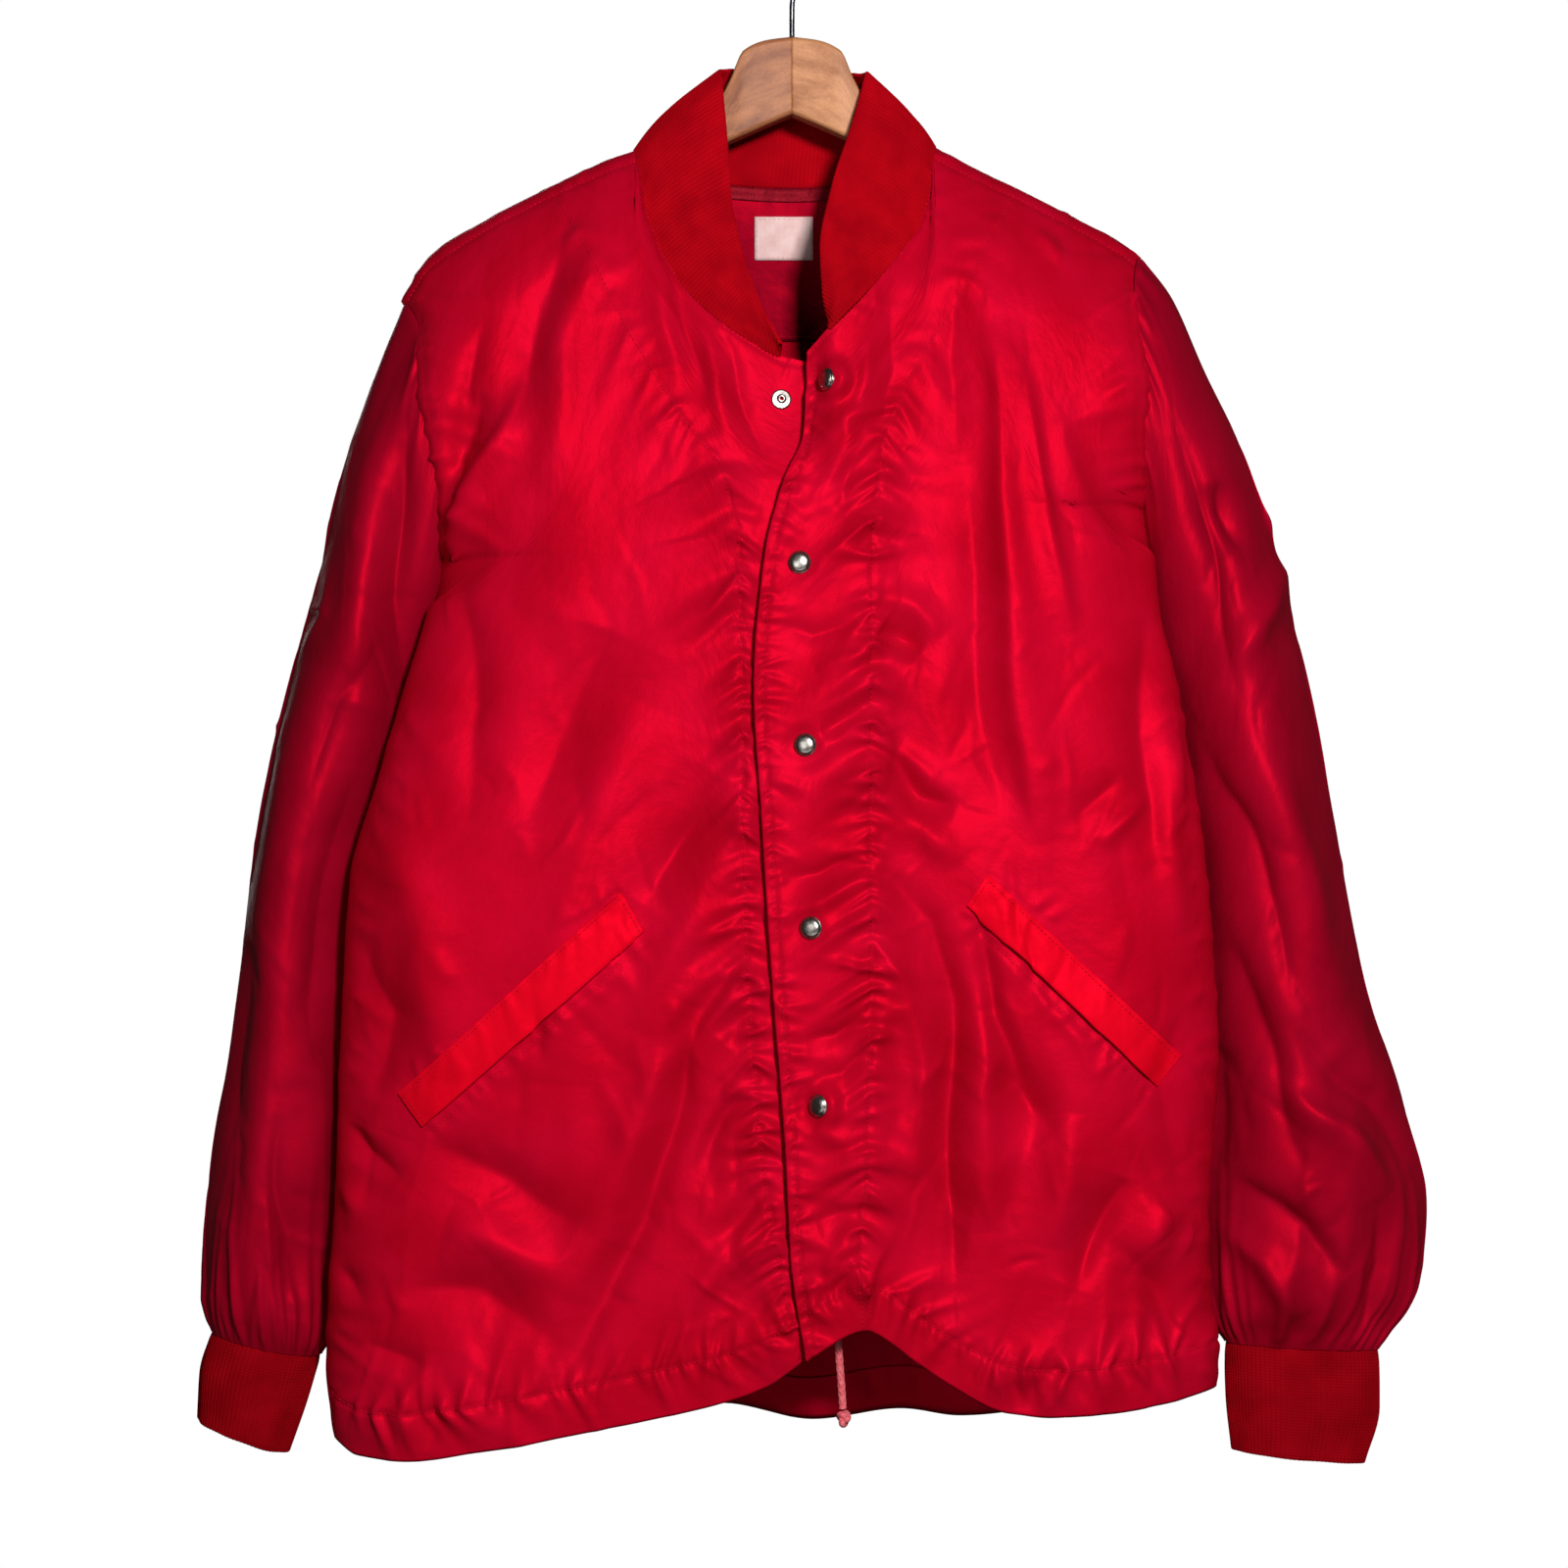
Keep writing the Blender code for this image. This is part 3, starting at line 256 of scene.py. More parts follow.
# Sleeves and cuffs.
Ring = namedtuple("Ring", "share outer_x outer_z inner_x inner_z depth y")
SLEEVE = {
    "right": table(Ring,
        (0.00, -219, -208, -196, -353, 32, -4), (0.06, -233, -243, -198, -374, 36, -1),
        (0.14, -247, -291, -202, -398, 38, 1), (0.24, -260, -347, -213, -430, 40, 2),
        (0.36, -277, -415, -230, -484, 42, 2), (0.50, -296, -505, -244, -560, 42, 2),
        (0.64, -312, -600, -250, -640, 42, 2), (0.76, -323, -680, -253, -705, 44, 2),
        (0.86, -327, -730, -255, -752, 42, 2), (0.94, -326, -762, -258, -780, 34, 0),
        (1.00, -321, -779, -263, -792, 25, 0)),
    "left": table(Ring,
        (0.00, 197, -184, 197, -325, 32, -4), (0.06, 214, -204, 199, -348, 36, -1),
        (0.14, 233, -250, 200, -378, 38, 1), (0.24, 257, -303, 208, -418, 40, 2),
        (0.36, 278, -378, 218, -478, 42, 2), (0.50, 299, -482, 228, -558, 44, 2),
        (0.64, 318, -580, 231, -634, 44, 2), (0.76, 341, -655, 231, -694, 44, 2),
        (0.86, 353, -708, 231, -736, 40, 2), (0.94, 347, -752, 234, -768, 30, 0),
        (1.00, 325, -789, 242, -785, 16, 0)),
}
CUFF = {
    "right": table(Ring,
        (0.0, -321, -779, -263, -792, 25, 0), (0.5, -328, -804, -270, -817, 24, 0),
        (1.0, -329, -828, -280, -846, 21, 0)),
    "left": table(Ring,
        (0.0, 325, -789, 242, -785, 16, 0), (0.5, 325, -822, 243, -816, 15, 0),
        (1.0, 317, -852, 246, -845, 14, 0)),
}
SLEEVE_FOLDS = {
    "right": table(Fold,
        ([(-213, -284), (-214, -350), (-213, -423)], 9, -7, 0.3),
        ([(-228, -270), (-236, -360), (-238, -450)], 10, 4),
        ([(-279, -652), (-276, -710), (-271, -764)], 8, -5, 0.3),
        ([(-262, -600), (-262, -680), (-262, -740)], 8, 4),
        ([(-240, -470), (-258, -560), (-262, -640)], 10, -5),
        ([(-262, -400), (-280, -500), (-294, -600)], 12, 3),
        ([(-300, -560), (-308, -640), (-306, -720)], 10, -3.4),
        ([(-226, -400), (-246, -430), (-262, -480)], 7, -3.4)),
    "left": table(Fold,
        ([(238, -310), (244, -330), (250, -348)], 9, -7, 0.3),
        ([(214, -280), (232, -350), (240, -430)], 10, -5, 0.3),
        ([(232, -420), (262, -380), (278, -350)], 8, 4),
        ([(226, -450), (256, -520), (282, -600)], 9, -5, 0.3),
        ([(250, -440), (276, -520), (300, -600)], 10, 4),
        ([(240, -560), (262, -640), (280, -690)], 9, -5),
        ([(246, -690), (276, -716), (304, -748)], 8, -6, 0.3),
        ([(240, -720), (262, -740), (280, -770)], 7, 4),
        ([(262, -640), (300, -664), (330, -700)], 8, 5, 0.3),
        ([(270, -610), (316, -650), (344, -690)], 8, -5, 0.3),
        ([(320, -700), (326, -740), (316, -776)], 7, -4), ([(236, -620), (238, -690)], 8, -4)),
}

# How fine a sleeve's grid is, how flat its edges are pressed, how far its head laps over the
# armhole's edge, and how many gathers its cuff draws in.
SLEEVE_ROWS = 230
SLEEVE_COLUMNS = 208
FLAT_EDGE = 0.9
SLEEVE_OVERLAP = 2.4
GATHERS = 34

# The rib knit: one rib and one furrow in each pitch, and the folded cuff's and collar's wall.
RIB_PITCH = 2.3
RIB_RISE = 0.34
KNIT = 2.2
CUFF_ROWS = 18
COLLAR_ROWS = 16
STEPS_PER_RIB = 4


def read(rows, at, column):
    """A column's values at places along the first column, on a curve that never overshoots."""
    rows = sorted(rows, key=lambda row: row[0])
    keys = np.array([row[0] for row in rows], float)
    values = np.array([getattr(row, column) for row in rows], float)
    slopes = np.diff(values) / np.diff(keys)
    before, after = slopes[:-1], slopes[1:]
    same_way = before * after > 0
    total = np.where(same_way, before + after, 1.0)
    inner = np.where(same_way, 2 * before * after / total, 0.0)
    tangents = np.concatenate(([slopes[0]], inner, [slopes[-1]]))
    at = np.clip(at, keys[0], keys[-1])
    i = np.clip(np.searchsorted(keys, at, side="right") - 1, 0, len(keys) - 2)
    span = keys[i + 1] - keys[i]
    t = (at - keys[i]) / span
    ends = (2 * t ** 3 - 3 * t ** 2 + 1) * values[i] + (3 * t ** 2 - 2 * t ** 3) * values[i + 1]
    bend = (t ** 3 - 2 * t ** 2 + t) * tangents[i] + (t ** 3 - t ** 2) * tangents[i + 1]
    return ends + bend * span


def mix(a, b, share):
    return a + (b - a) * share


def ease(share):
    """0 to 1 with level ends."""
    share = np.clip(share, 0.0, 1.0)
    return share * share * (3 - 2 * share)


def quarter_round(share):
    """0 to 1 along a quarter of a circle: upright at first, then level."""
    share = np.clip(share, 0.0, 1.0)
    return np.sqrt(1 - (1 - share) ** 2)


def walked(points):
    """How far along a line each of its points is."""
    steps = np.linalg.norm(np.diff(points, axis=0), axis=-1)
    return np.concatenate([0 * steps[:1], np.cumsum(steps, axis=0)])


def unit(vector):
    return vector / np.linalg.norm(vector, axis=-1, keepdims=True)


def round_turns(count):
    """Even angles all the way round."""
    return np.linspace(0, 2 * math.pi, count, endpoint=False)


# ---- The panels' smooth forms


def body_edge(side, face, z):
    """The place where a panel ends at its side. A face is -1 for the front, 1 for the back."""
    hole = ARMHOLE[side]
    half = (hole.top - hole.foot) / 2
    middle = (hole.top + hole.foot) / 2
    angle = np.arccos(np.clip((z - middle) / half, -1.0, 1.0))
    at_hole = mix(RIDGE_Y, SEAM_Y, angle / math.pi) + face * ARMHOLE_REACH * np.sin(angle)
    y = np.where(z > hole.top, RIDGE_Y, np.where(z > hole.foot, at_hole, SEAM_Y))
    return read(EDGE[side], z, "x"), y


def tuck(side, z):
    """How far the side seam lies inside the folds at its two sides."""
    below = ARMHOLE[side].foot - z
    return TUCK_DEPTH * ease((below - 15) / 45) * mix(1.0, 0.6, ease((below - 380) / 80))


Columns = namedtuple("Columns", "top low tuck neck")


def panel_point(side, face, span, columns, z):
    """Points of a panel's smooth form, before its top is drawn in and its folds are added."""
    edge_x, edge_y = body_edge(side, face, z)
    foot = ARMHOLE[side].foot
    start = mix(foot, NECK_SPREAD[0], columns.neck)
    length = mix(SIDE_SPREAD, NECK_SPREAD[1], columns.neck)
    share = mix(columns.top, columns.low, ease((start - z) / length))
    fold_y = mix(edge_y, face * FOLD_Y, ease((foot - z) / SIDE_SPREAD))
    depth = face * read(DEPTH, z, "front" if face < 0 else "back")
    inset = tuck(side, z) * (1 + np.cos(math.pi * columns.tuck)) / 2
    x = edge_x + INWARD[side] * inset + span * share
    start_y = mix(edge_y, fold_y, columns.tuck)
    return x, mix(start_y, depth, quarter_round(np.abs(span) * share / CORNER))


def shoulder_columns(top_share, low_share, count):
    """The columns from the side, through the tuck, to the neck point."""
    tucked = np.linspace(0, 2, TUCK_COLUMNS)[:-1]
    i = np.concatenate([tucked, np.linspace(2, 8, count)])
    past = np.maximum(0, i - 2) / 6
    return Columns(top_share * (i / 8) ** 1.1, low_share * past ** 1.2,
                   np.minimum(1.0, i / 2), past ** 2)


def joined(*groups):
    return Columns(*[np.concatenate(column) for column in zip(*groups)])


def row_drops(side):
    """How far down each row is at the side: even angles round the armhole, then even steps."""
    hole = ARMHOLE[side]
    half = (hole.top - hole.foot) / 2
    length = hole.top - FRONT_HEM[side][0 if side == "right" else -1].z
    angles = np.linspace(0, math.pi, ARMHOLE_ROWS, endpoint=False)
    below = np.linspace(2 * half, length, SIDE_ROWS + 1)
    return np.concatenate([half * (1 - np.cos(angles)), below]) / length


def settle(place, line, start, columns):
    """The height at which each column meets a line that gives a height for each x."""
    z = np.full(len(columns.top), float(start))
    for _ in range(SETTLE_STEPS):
        z = mix(z, line(place(z)[0]), 0.6)
    return z


def hung_grid(side, place, lines, starts, columns, drops, even):
    """A panel's places between its top line and its hem, with its top's heights and x.

    The rows lie at the side's own drops where even is 0, and at even steps where it is 1.
    """
    top, foot = [settle(place, line, start, columns) for line, start in zip(lines, starts)]
    top[0] = ARMHOLE[side].top
    z = mix(top, foot, mix(drops[:, None], np.linspace(0, 1, len(drops))[:, None], even))
    x, y = place(z)
    return x, y, z, top, place(top)[0]


def drawn_in(seam_y, y, below):
    """The panel's top, which bends over from its seam to its face."""
    return np.where(below < ROUND, mix(seam_y, y, quarter_round(below / ROUND)), y)


def front_form(side):
    """A front panel's smooth form, from its side to its edge and down from its shoulder."""
    hem = FRONT_HEM[side]
    edge = FRONT_EDGE[side]
    side_x = EDGE[side][0].x
    top_span = read(edge, -124, "x") - read(EDGE[side], -124, "x")
    neck_share = (NECK_POINT[side] - side_x) / top_span
    collar_share = (COLLAR_END[side] - side_x) / top_span
    share = np.linspace(0, 1, NECK_COLUMNS + 1)[1:]
    last = np.linspace(0, 1, EDGE_COLUMNS + 1)[1:]
    columns = joined(
        shoulder_columns(neck_share, LOW_NECK, SHOULDER_COLUMNS),
        Columns(mix(neck_share, collar_share, share ** 2.2), mix(LOW_NECK, LOW_COLLAR, share),
                np.ones(NECK_COLUMNS), np.ones(NECK_COLUMNS)),
        Columns(mix(collar_share, 1.0, last), mix(LOW_COLLAR, 1.0, last),
                np.ones(EDGE_COLUMNS), np.ones(EDGE_COLUMNS)))

    def place(z):
        span = read(edge, z, "x") - body_edge(side, -1, z)[0]
        return panel_point(side, -1, span, columns, z)

    def top_line(x):
        past_neck = (x - NECK_POINT[side]) * INWARD[side] > 0
        return np.where(past_neck, read(FRONT_NECK[side], x, "z"), read(SHOULDER[side], x, "z"))

    even = ease((np.arange(len(columns.top)) - SHOULDER_COLUMNS) / NECK_COLUMNS)
    x, y, z, top, top_x = hung_grid(side, place, (top_line, lambda x: read(hem, x, "z")),
                                    (-200, -810), columns, row_drops(side), even)
    past_neck = (top_x - NECK_POINT[side]) * INWARD[side] > 0.01
    seam_y = np.where(past_neck, read(FRONT_NECK[side], top_x, "y"), RIDGE_Y)
    y = drawn_in(seam_y, y, top - z) + lap_push(side, x, z)
    return np.stack([x, y, z], axis=-1)


def lap_push(side, x, z):
    """How far the left front stands in front of the right one, and how its top edge curls."""
    if side == "right":
        return 7 * ease((x + 40) / 40) * ease((z + 330) / 60)
    lapped = -LAP * ease((LAP_BLEND + 30 - x) / LAP_BLEND)
    return lapped + 7 * ease((24 - x) / 18) * ease((z + 320) / 40)


def back_form():
    """The back panel's smooth form, from the right side to the left."""
    width = EDGE["left"][0].x - EDGE["right"][0].x
    reach = {side: abs(NECK_POINT[side] - EDGE[side][0].x) / width for side in EDGE}

    def back_top(x):
        right = read(SHOULDER["right"], x, "z")
        left = read(SHOULDER["left"], x, "z")
        outside = np.where(x < 0, right, left)
        in_neck = (x > NECK_POINT["right"]) & (x < NECK_POINT["left"])
        return np.where(in_neck, read(BACK_NECK, x, "z"), outside)

    halves = []
    count = BACK_NECK_COLUMNS // 2
    for side, other in (("right", "left"), ("left", "right")):
        even = np.linspace(0, 0.5, count + 1)[1:]
        share = (1 - np.cos(math.pi * even)) / 2
        middle = Columns(mix(reach[side], 1 - reach[other], share),
                         mix(LOW_BACK_NECK, 1 - LOW_BACK_NECK, even), np.ones(count),
                         np.ones(count))
        columns = joined(shoulder_columns(reach[side], LOW_BACK_NECK, SHOULDER_COLUMNS - 10),
                         middle)

        def place(z):
            span = body_edge(other, 1, z)[0] - body_edge(side, 1, z)[0]
            return panel_point(side, 1, span, columns, z)

        to_middle = ease(np.arange(len(columns.top)) / (len(columns.top) - 1))
        x, y, z, top, top_x = hung_grid(side, place, (back_top, lambda x: read(BACK_HEM, x, "z")),
                                        (-180, -820), columns, row_drops(side)[::2], to_middle)
        in_neck = (top_x > NECK_POINT["right"] + 0.01) & (top_x < NECK_POINT["left"] - 0.01)
        seam_y = np.where(in_neck, read(BACK_NECK, top_x, "y"), RIDGE_Y)
        halves.append(np.stack([x, drawn_in(seam_y, y, top - z), z], axis=-1))
    right, left = halves
    return np.concatenate([right, left[:, -2::-1]], axis=1)


def ring_points(row, angles, flat):
    """Points on rings: angle 0 is the outer edge, and a quarter turn is the front."""
    outer = np.stack([row.outer_x, 0 * row.outer_x, row.outer_z], axis=-1)
    inner = np.stack([row.inner_x, 0 * row.inner_x, row.inner_z], axis=-1)
    bulge = np.sin(angles) * np.abs(np.sin(angles)) ** flat
    points = (outer + inner) / 2 + (outer - inner) / 2 * np.cos(angles)[..., None]
    points[..., 1] += row.y - row.depth * bulge
    return points


def rings_at(rows, shares):
    """The rings at shares of the way along a sleeve or cuff, one to a row."""
    return Ring(shares, *[read(rows, shares, column) for column in Ring._fields[1:]])


def sleeve_form(side):
    """A sleeve's smooth form: rings from the armhole to the cuff, with the outer edge first."""
    hole = ARMHOLE[side]
    shares = np.linspace(0, 1, SLEEVE_ROWS + 1)[:, None] ** 0.97
    angles = round_turns(SLEEVE_COLUMNS)[None, :]
    to_cuff = ease((shares - 0.8) / 0.2)
    flat = mix(0.0, FLAT_EDGE, ease(shares / 0.3)) * (1 - to_cuff)
    points = ring_points(rings_at(SLEEVE[side], shares), angles, flat)
    start = ring_points(rings_at(SLEEVE[side], 0 * shares), angles, 0.0)
    z = mix(hole.foot, hole.top, (1 + np.cos(angles)) / 2)
    face = np.where(angles < math.pi, -1, 1)
    edge_x, edge_y = body_edge(side, face, np.clip(z, hole.foot + 0.01, hole.top))
    hole_points = np.stack([edge_x + INWARD[side] * SLEEVE_OVERLAP, edge_y, z], axis=-1)
    points += (hole_points - start) * (1 - ease(shares / 0.22))[..., None]
    return points


# ---- Relief: folds, puckers and creases


def normals_of(points, wrap=False):
    """The normal at each point of a grid, out of the garment for rows that run down."""
    if wrap:
        across = np.roll(points, -1, axis=1) - np.roll(points, 1, axis=1)
    else:
        across = np.gradient(points, axis=1)
    down = np.gradient(points, axis=0)
    normals = np.cross(down, across)
    return normals / np.maximum(np.linalg.norm(normals, axis=-1, keepdims=True), 1e-9)


def raised(points, relief, wrap=False, outward=1.0):
    """The grid with a relief along its normals."""
    return points + normals_of(points, wrap) * (outward * relief)[..., None]


def along_line(x, z, line):
    """How far along a line each place is, and how far to its side. The right of it is positive."""
    best = np.full(x.shape, np.inf)
    along = np.zeros(x.shape)
    offset = np.zeros(x.shape)
    run = 0.0
    for (x0, z0), (x1, z1) in zip(line, line[1:]):
        dx, dz = x1 - x0, z1 - z0
        length = math.hypot(dx, dz)
        t = np.clip(((x - x0) * dx + (z - z0) * dz) / length ** 2, 0.0, 1.0)
        ox, oz = x - (x0 + t * dx), z - (z0 + t * dz)
        distance = np.hypot(ox, oz)
        nearer = distance < best
        best = np.where(nearer, distance, best)
        along = np.where(nearer, run + t * length, along)
        offset = np.where(nearer, np.copysign(distance, ox * dz - oz * dx), offset)
        run += length
    return along, offset, run


# Every fold stands this many times its own rise.
FOLD_SHARE = 1.5


def fold_relief(folds, x, z):
    """How far the folds push the cloth out: each rises and dies away along its own line."""
    total = np.zeros(x.shape)
    for fold in folds:
        xs, zs = zip(*fold.line)
        pad = 3.2 * fold.width
        near = ((x > min(xs) - pad) & (x < max(xs) + pad)
                & (z > min(zs) - pad) & (z < max(zs) + pad))
        if not near.any():
            continue
        along, offset, length = along_line(x[near], z[near], fold.line)
        width = fold.width * (1 + fold.lean * np.sign(offset))
        swell = np.sin(math.pi * np.clip(along / length, 0.02, 0.98)) ** 0.7
        shape = 1.8 if fold.rise > 0 else 1.35
        total[near] += FOLD_SHARE * fold.rise * swell * np.exp(-np.abs(offset / width) ** shape)
    return total


def wandered(x, z, rng, amount, size):
    """The same places, moved about a little, so that no fold runs quite straight."""
    moved = []
    for _ in range(2):
        shift = np.zeros(x.shape)
        for _ in range(5):
            turn = rng.uniform(0, 2 * math.pi)
            pitch = size * rng.uniform(0.6, 1.8)
            phase = rng.uniform(0, 2 * math.pi)
            shift += np.sin((x * math.cos(turn) + z * math.sin(turn)) * 2 * math.pi / pitch + phase)
        moved.append(amount * shift / 2.2)
    return x + moved[0], z + moved[1]


def scattered_folds(rng, count, box, lengths, widths, rises, heading, spread):
    """Small creases strewn over a panel, each with its own place, turn, length and rise."""
    folds = []
    for _ in range(count):
        x, z = rng.uniform(box[0], box[1]), rng.uniform(box[2], box[3])
        turn = math.radians(rng.gauss(heading, spread))
        length = rng.uniform(*lengths)
        bow = rng.uniform(-0.18, 0.18) * length
        dx, dz = math.cos(turn), math.sin(turn)
        line = [(x, z), (x + dx * length / 2 - dz * bow, z + dz * length / 2 + dx * bow),
                (x + dx * length, z + dz * length)]
        rise = rng.uniform(*rises) * rng.choice((-1, 1))
        folds.append(Fold(line, rng.uniform(*widths), rise, rng.uniform(-0.4, 0.4)))
    return folds


# Puckers along a seam: how far apart and how high, and how far they reach and how they slant on
# the seam's two sides, left first, with the depth of the groove that the thread lies in.
Puckers = namedtuple("Puckers", "pitch rise reach slant groove", defaults=((0.0, 0.0), 0.7))
PUCKERS = {
    "facing": Puckers(6.4, 4.4, (9, 11), (0.35, 0.35)),
    "facing_wide": Puckers(18.0, 5.6, (22, 30), (0.5, 0.7), 0.0),
    "side": Puckers(13.0, 1.3, (22, 8), (0.3, 0.3), 0.0),
    "front_edge": Puckers(5.2, 3.0, (8, 5), (0.2, 0.2)),
    "hem": Puckers(7.5, 4.0, (15, 14), (0.3, 0.3)),
    "hem_wide": Puckers(21.0, 3.6, (18, 26), (0.2, 0.4), 0.0),
    "shoulder": Puckers(9.0, 0.9, (10, 10), (0.3, 0.3)),
    "neck": Puckers(5.5, 0.8, (12, 10)),
    "armhole": Puckers(8.0, 2.6, (22, 22), (0.3, 0.3)),
    "pocket": Puckers(8.0, 1.2, (9, 9), (0.0, 0.0), 0.9),
    "welt": Puckers(8.0, 1.0, (6, 12), (0.2, 0.4), 0.4),
    "sleeve_head": Puckers(9.0, 1.6, (16, 16), (0.2, 0.2), 0.6),
    "back_hem": Puckers(8.5, 1.8, (15, 18), (0.3, 0.3)),
    "back_shoulder": Puckers(9.0, 0.8, (10, 10)),
    "back_armhole": Puckers(8.5, 2.2, (20, 20)),
    "back_neck": Puckers(5.5, 0.7, (8, 10)),
}


def seam_puckers(along, offset, length, rng, kind):
    """The puckers that a tight thread draws across a seam, and the groove that it lies in."""
    pitch, rise, reach, slant, groove = PUCKERS[kind]
    relief = np.zeros(along.shape)
    spot = 0.0
    while spot < length:
        spot += pitch * rng.uniform(0.55, 1.5)
        own_rise = rise * rng.uniform(0.2, 1.2) ** 1.4
        width = pitch * rng.uniform(0.24, 0.42)
        for side, own_reach, own_slant in zip((-1, 1), reach, slant):
            own_reach = own_reach * rng.uniform(0.4, 1.5)
            own_slant = rng.gauss(own_slant, 0.3)
            far = np.abs(offset)
            near = (np.sign(offset) == side) & (far < 2.6 * own_reach)
            near &= np.abs(along - spot - own_slant * far) < 4 * width + far * 0.4
            if not near.any():
                continue
            away = far[near]
            wide = width * (1 + away / own_reach * 0.6)
            ridge = np.exp(-((along[near] - spot - own_slant * away) / wide) ** 2)
            relief[near] += own_rise * ridge * np.exp(-(away / own_reach) ** 1.4)
    return relief - groove * np.exp(-(offset / 1.5) ** 2)


def line_puckers(x, z, line, rng, kind):
    """Puckers across a sewn line that is given in the front view."""
    xs, zs = zip(*line)
    pad = 3 * max(PUCKERS[kind].reach) + 10
    relief = np.zeros(x.shape)
    near = (x > min(xs) - pad) & (x < max(xs) + pad) & (z > min(zs) - pad) & (z < max(zs) + pad)
    along, offset, length = along_line(x[near], z[near], line)
    relief[near] = seam_puckers(along, offset, length, rng, kind)
    return relief


# ---- Finishes


def linear(hex_colour):
    """An sRGB hex colour as linear light."""
    channels = [int(hex_colour[i:i + 2], 16) / 255 for i in (1, 3, 5)]
    return (*[c / 12.92 if c <= 0.04045 else ((c + 0.055) / 1.055) ** 2.4 for c in channels], 1.0)


def add(tree, kind, settings=None, values=None, links=None):
    """A node, with its settings, its inputs' values and the sockets that are linked to it."""
    made = tree.nodes.new(kind)
    for name, value in (settings or {}).items():
        setattr(made, name, value)
    for socket, value in (values or {}).items():
        made.inputs[socket].default_value = value
    for socket, source in (links or {}).items():
        tree.links.new(source, made.inputs[socket])
    return made


def blank_finish(name, woven, values):
    """A new material, its node tree and its shader, and where a point is on the piece.

    The places are in millimetres along the weave, or else in metres in the piece's own frame.
    """
    finish = bpy.data.materials.new(name)
    finish.use_nodes = True
    tree = finish.node_tree
    shader = tree.nodes["Principled BSDF"]
    for socket, value in values.items():
        shader.inputs[socket].default_value = value
    if woven:
        return finish, tree, shader, add(tree, "ShaderNodeUVMap", {"uv_map": "Weave"}).outputs["UV"]
    return finish, tree, shader, add(tree, "ShaderNodeTexCoord").outputs["Object"]


def drifting(tree, places, values, low, high, span):
    """A colour that drifts from low to high as a noise with these values goes over its span."""
    noise = add(tree, "ShaderNodeTexNoise", values=values, links={"Vector": places})
    ramp = add(tree, "ShaderNodeValToRGB", links={"Fac": noise.outputs["Fac"]})
    for element, position, colour in zip(ramp.color_ramp.elements, span, (low, high)):
        element.position = position
        element.color = linear(colour)
    return ramp.outputs["Color"]


def mottle(tree, shader, places, scale, low, high, span=(0.35, 0.65)):
    """Lets the finish's own colour drift between two over the surface."""
    colour = drifting(tree, places, {"Scale": scale, "Detail": 3.0}, low, high, span)
    tree.links.new(colour, shader.inputs["Base Color"])


def threads(tree, places, ways, pitch):
    """The heights of threads that run these ways, one wave for each, in the places' own units."""
    values = {"Scale": 2 * math.pi / (20 * pitch), "Distortion": 0.35, "Detail": 1.0,
              "Detail Scale": 1.5}
    return [add(tree, "ShaderNodeTexWave", {"bands_direction": way}, values,
                {"Vector": places}).outputs["Fac"] for way in ways]


def bumped(tree, shader, heights):
    """Bumps laid on one another: each a height, its strength and its depth in metres."""
    normal = None
    for height, strength, distance in heights:
        links = {"Height": height}
        if normal:
            links["Normal"] = normal
        bump = add(tree, "ShaderNodeBump", values={"Strength": strength, "Distance": distance},
                   links=links)
        normal = bump.outputs["Normal"]
    tree.links.new(normal, shader.inputs["Normal"])


# The nylon's threads are 0.3 mm apart, and are drawn three times as coarse so that they show.
NYLON_THREAD = 0.9
CRINKLE = 9.0


def nylon_satin(name, low, high):
    """Nylon satin, woven and calendered: a soft red sheen with no white in it."""
    finish, tree, shader, places = blank_finish(name, True, {
        "Roughness": 0.48, "IOR": 1.53, "Specular IOR Level": 0.88,
        "Specular Tint": linear("#FF0C2C")})
    mottle(tree, shader, places, 1 / 60, low, high)
    warp, weft = threads(tree, places, "XY", NYLON_THREAD)
    crinkle = add(tree, "ShaderNodeTexNoise", values={"Scale": 1 / CRINKLE, "Detail": 3.0},
                  links={"Vector": places}).outputs["Fac"]
    bumped(tree, shader, [(warp, 0.10, 0.0001), (weft, 0.10, 0.0001), (crinkle, 0.35, 0.0012)])
    return finish


# A knit row is 1.6 mm high.
KNIT_ROW = 1.6


def rib_knit(name, low, high):
    """Acrylic rib knit: matt, a little fuzzy, with rows of stitches up each rib."""
    finish, tree, shader, places = blank_finish(name, True, {
        "Roughness": 0.9, "Specular IOR Level": 0.2, "Specular Tint": linear("#FF3030"),
        "Sheen Weight": 0.25, "Sheen Tint": linear("#FF2020")})
    mottle(tree, shader, places, 1 / 25, low, high)
    [rows] = threads(tree, places, "Y", KNIT_ROW)
    fuzz = add(tree, "ShaderNodeTexNoise", values={"Scale": 1.6, "Detail": 2.0},
               links={"Vector": places}).outputs["Fac"]
    bumped(tree, shader, [(rows, 0.5, 0.0003), (fuzz, 0.5, 0.0003)])
    return finish


def sewing_thread(name, low, high):
    """Polyester sewing thread: close to the cloth's red, with a slight shine."""
    finish, tree, shader, places = blank_finish(name, False, {
        "Roughness": 0.5, "Specular Tint": linear("#FF4050")})
    mottle(tree, shader, places, 900, low, high)
    return finish


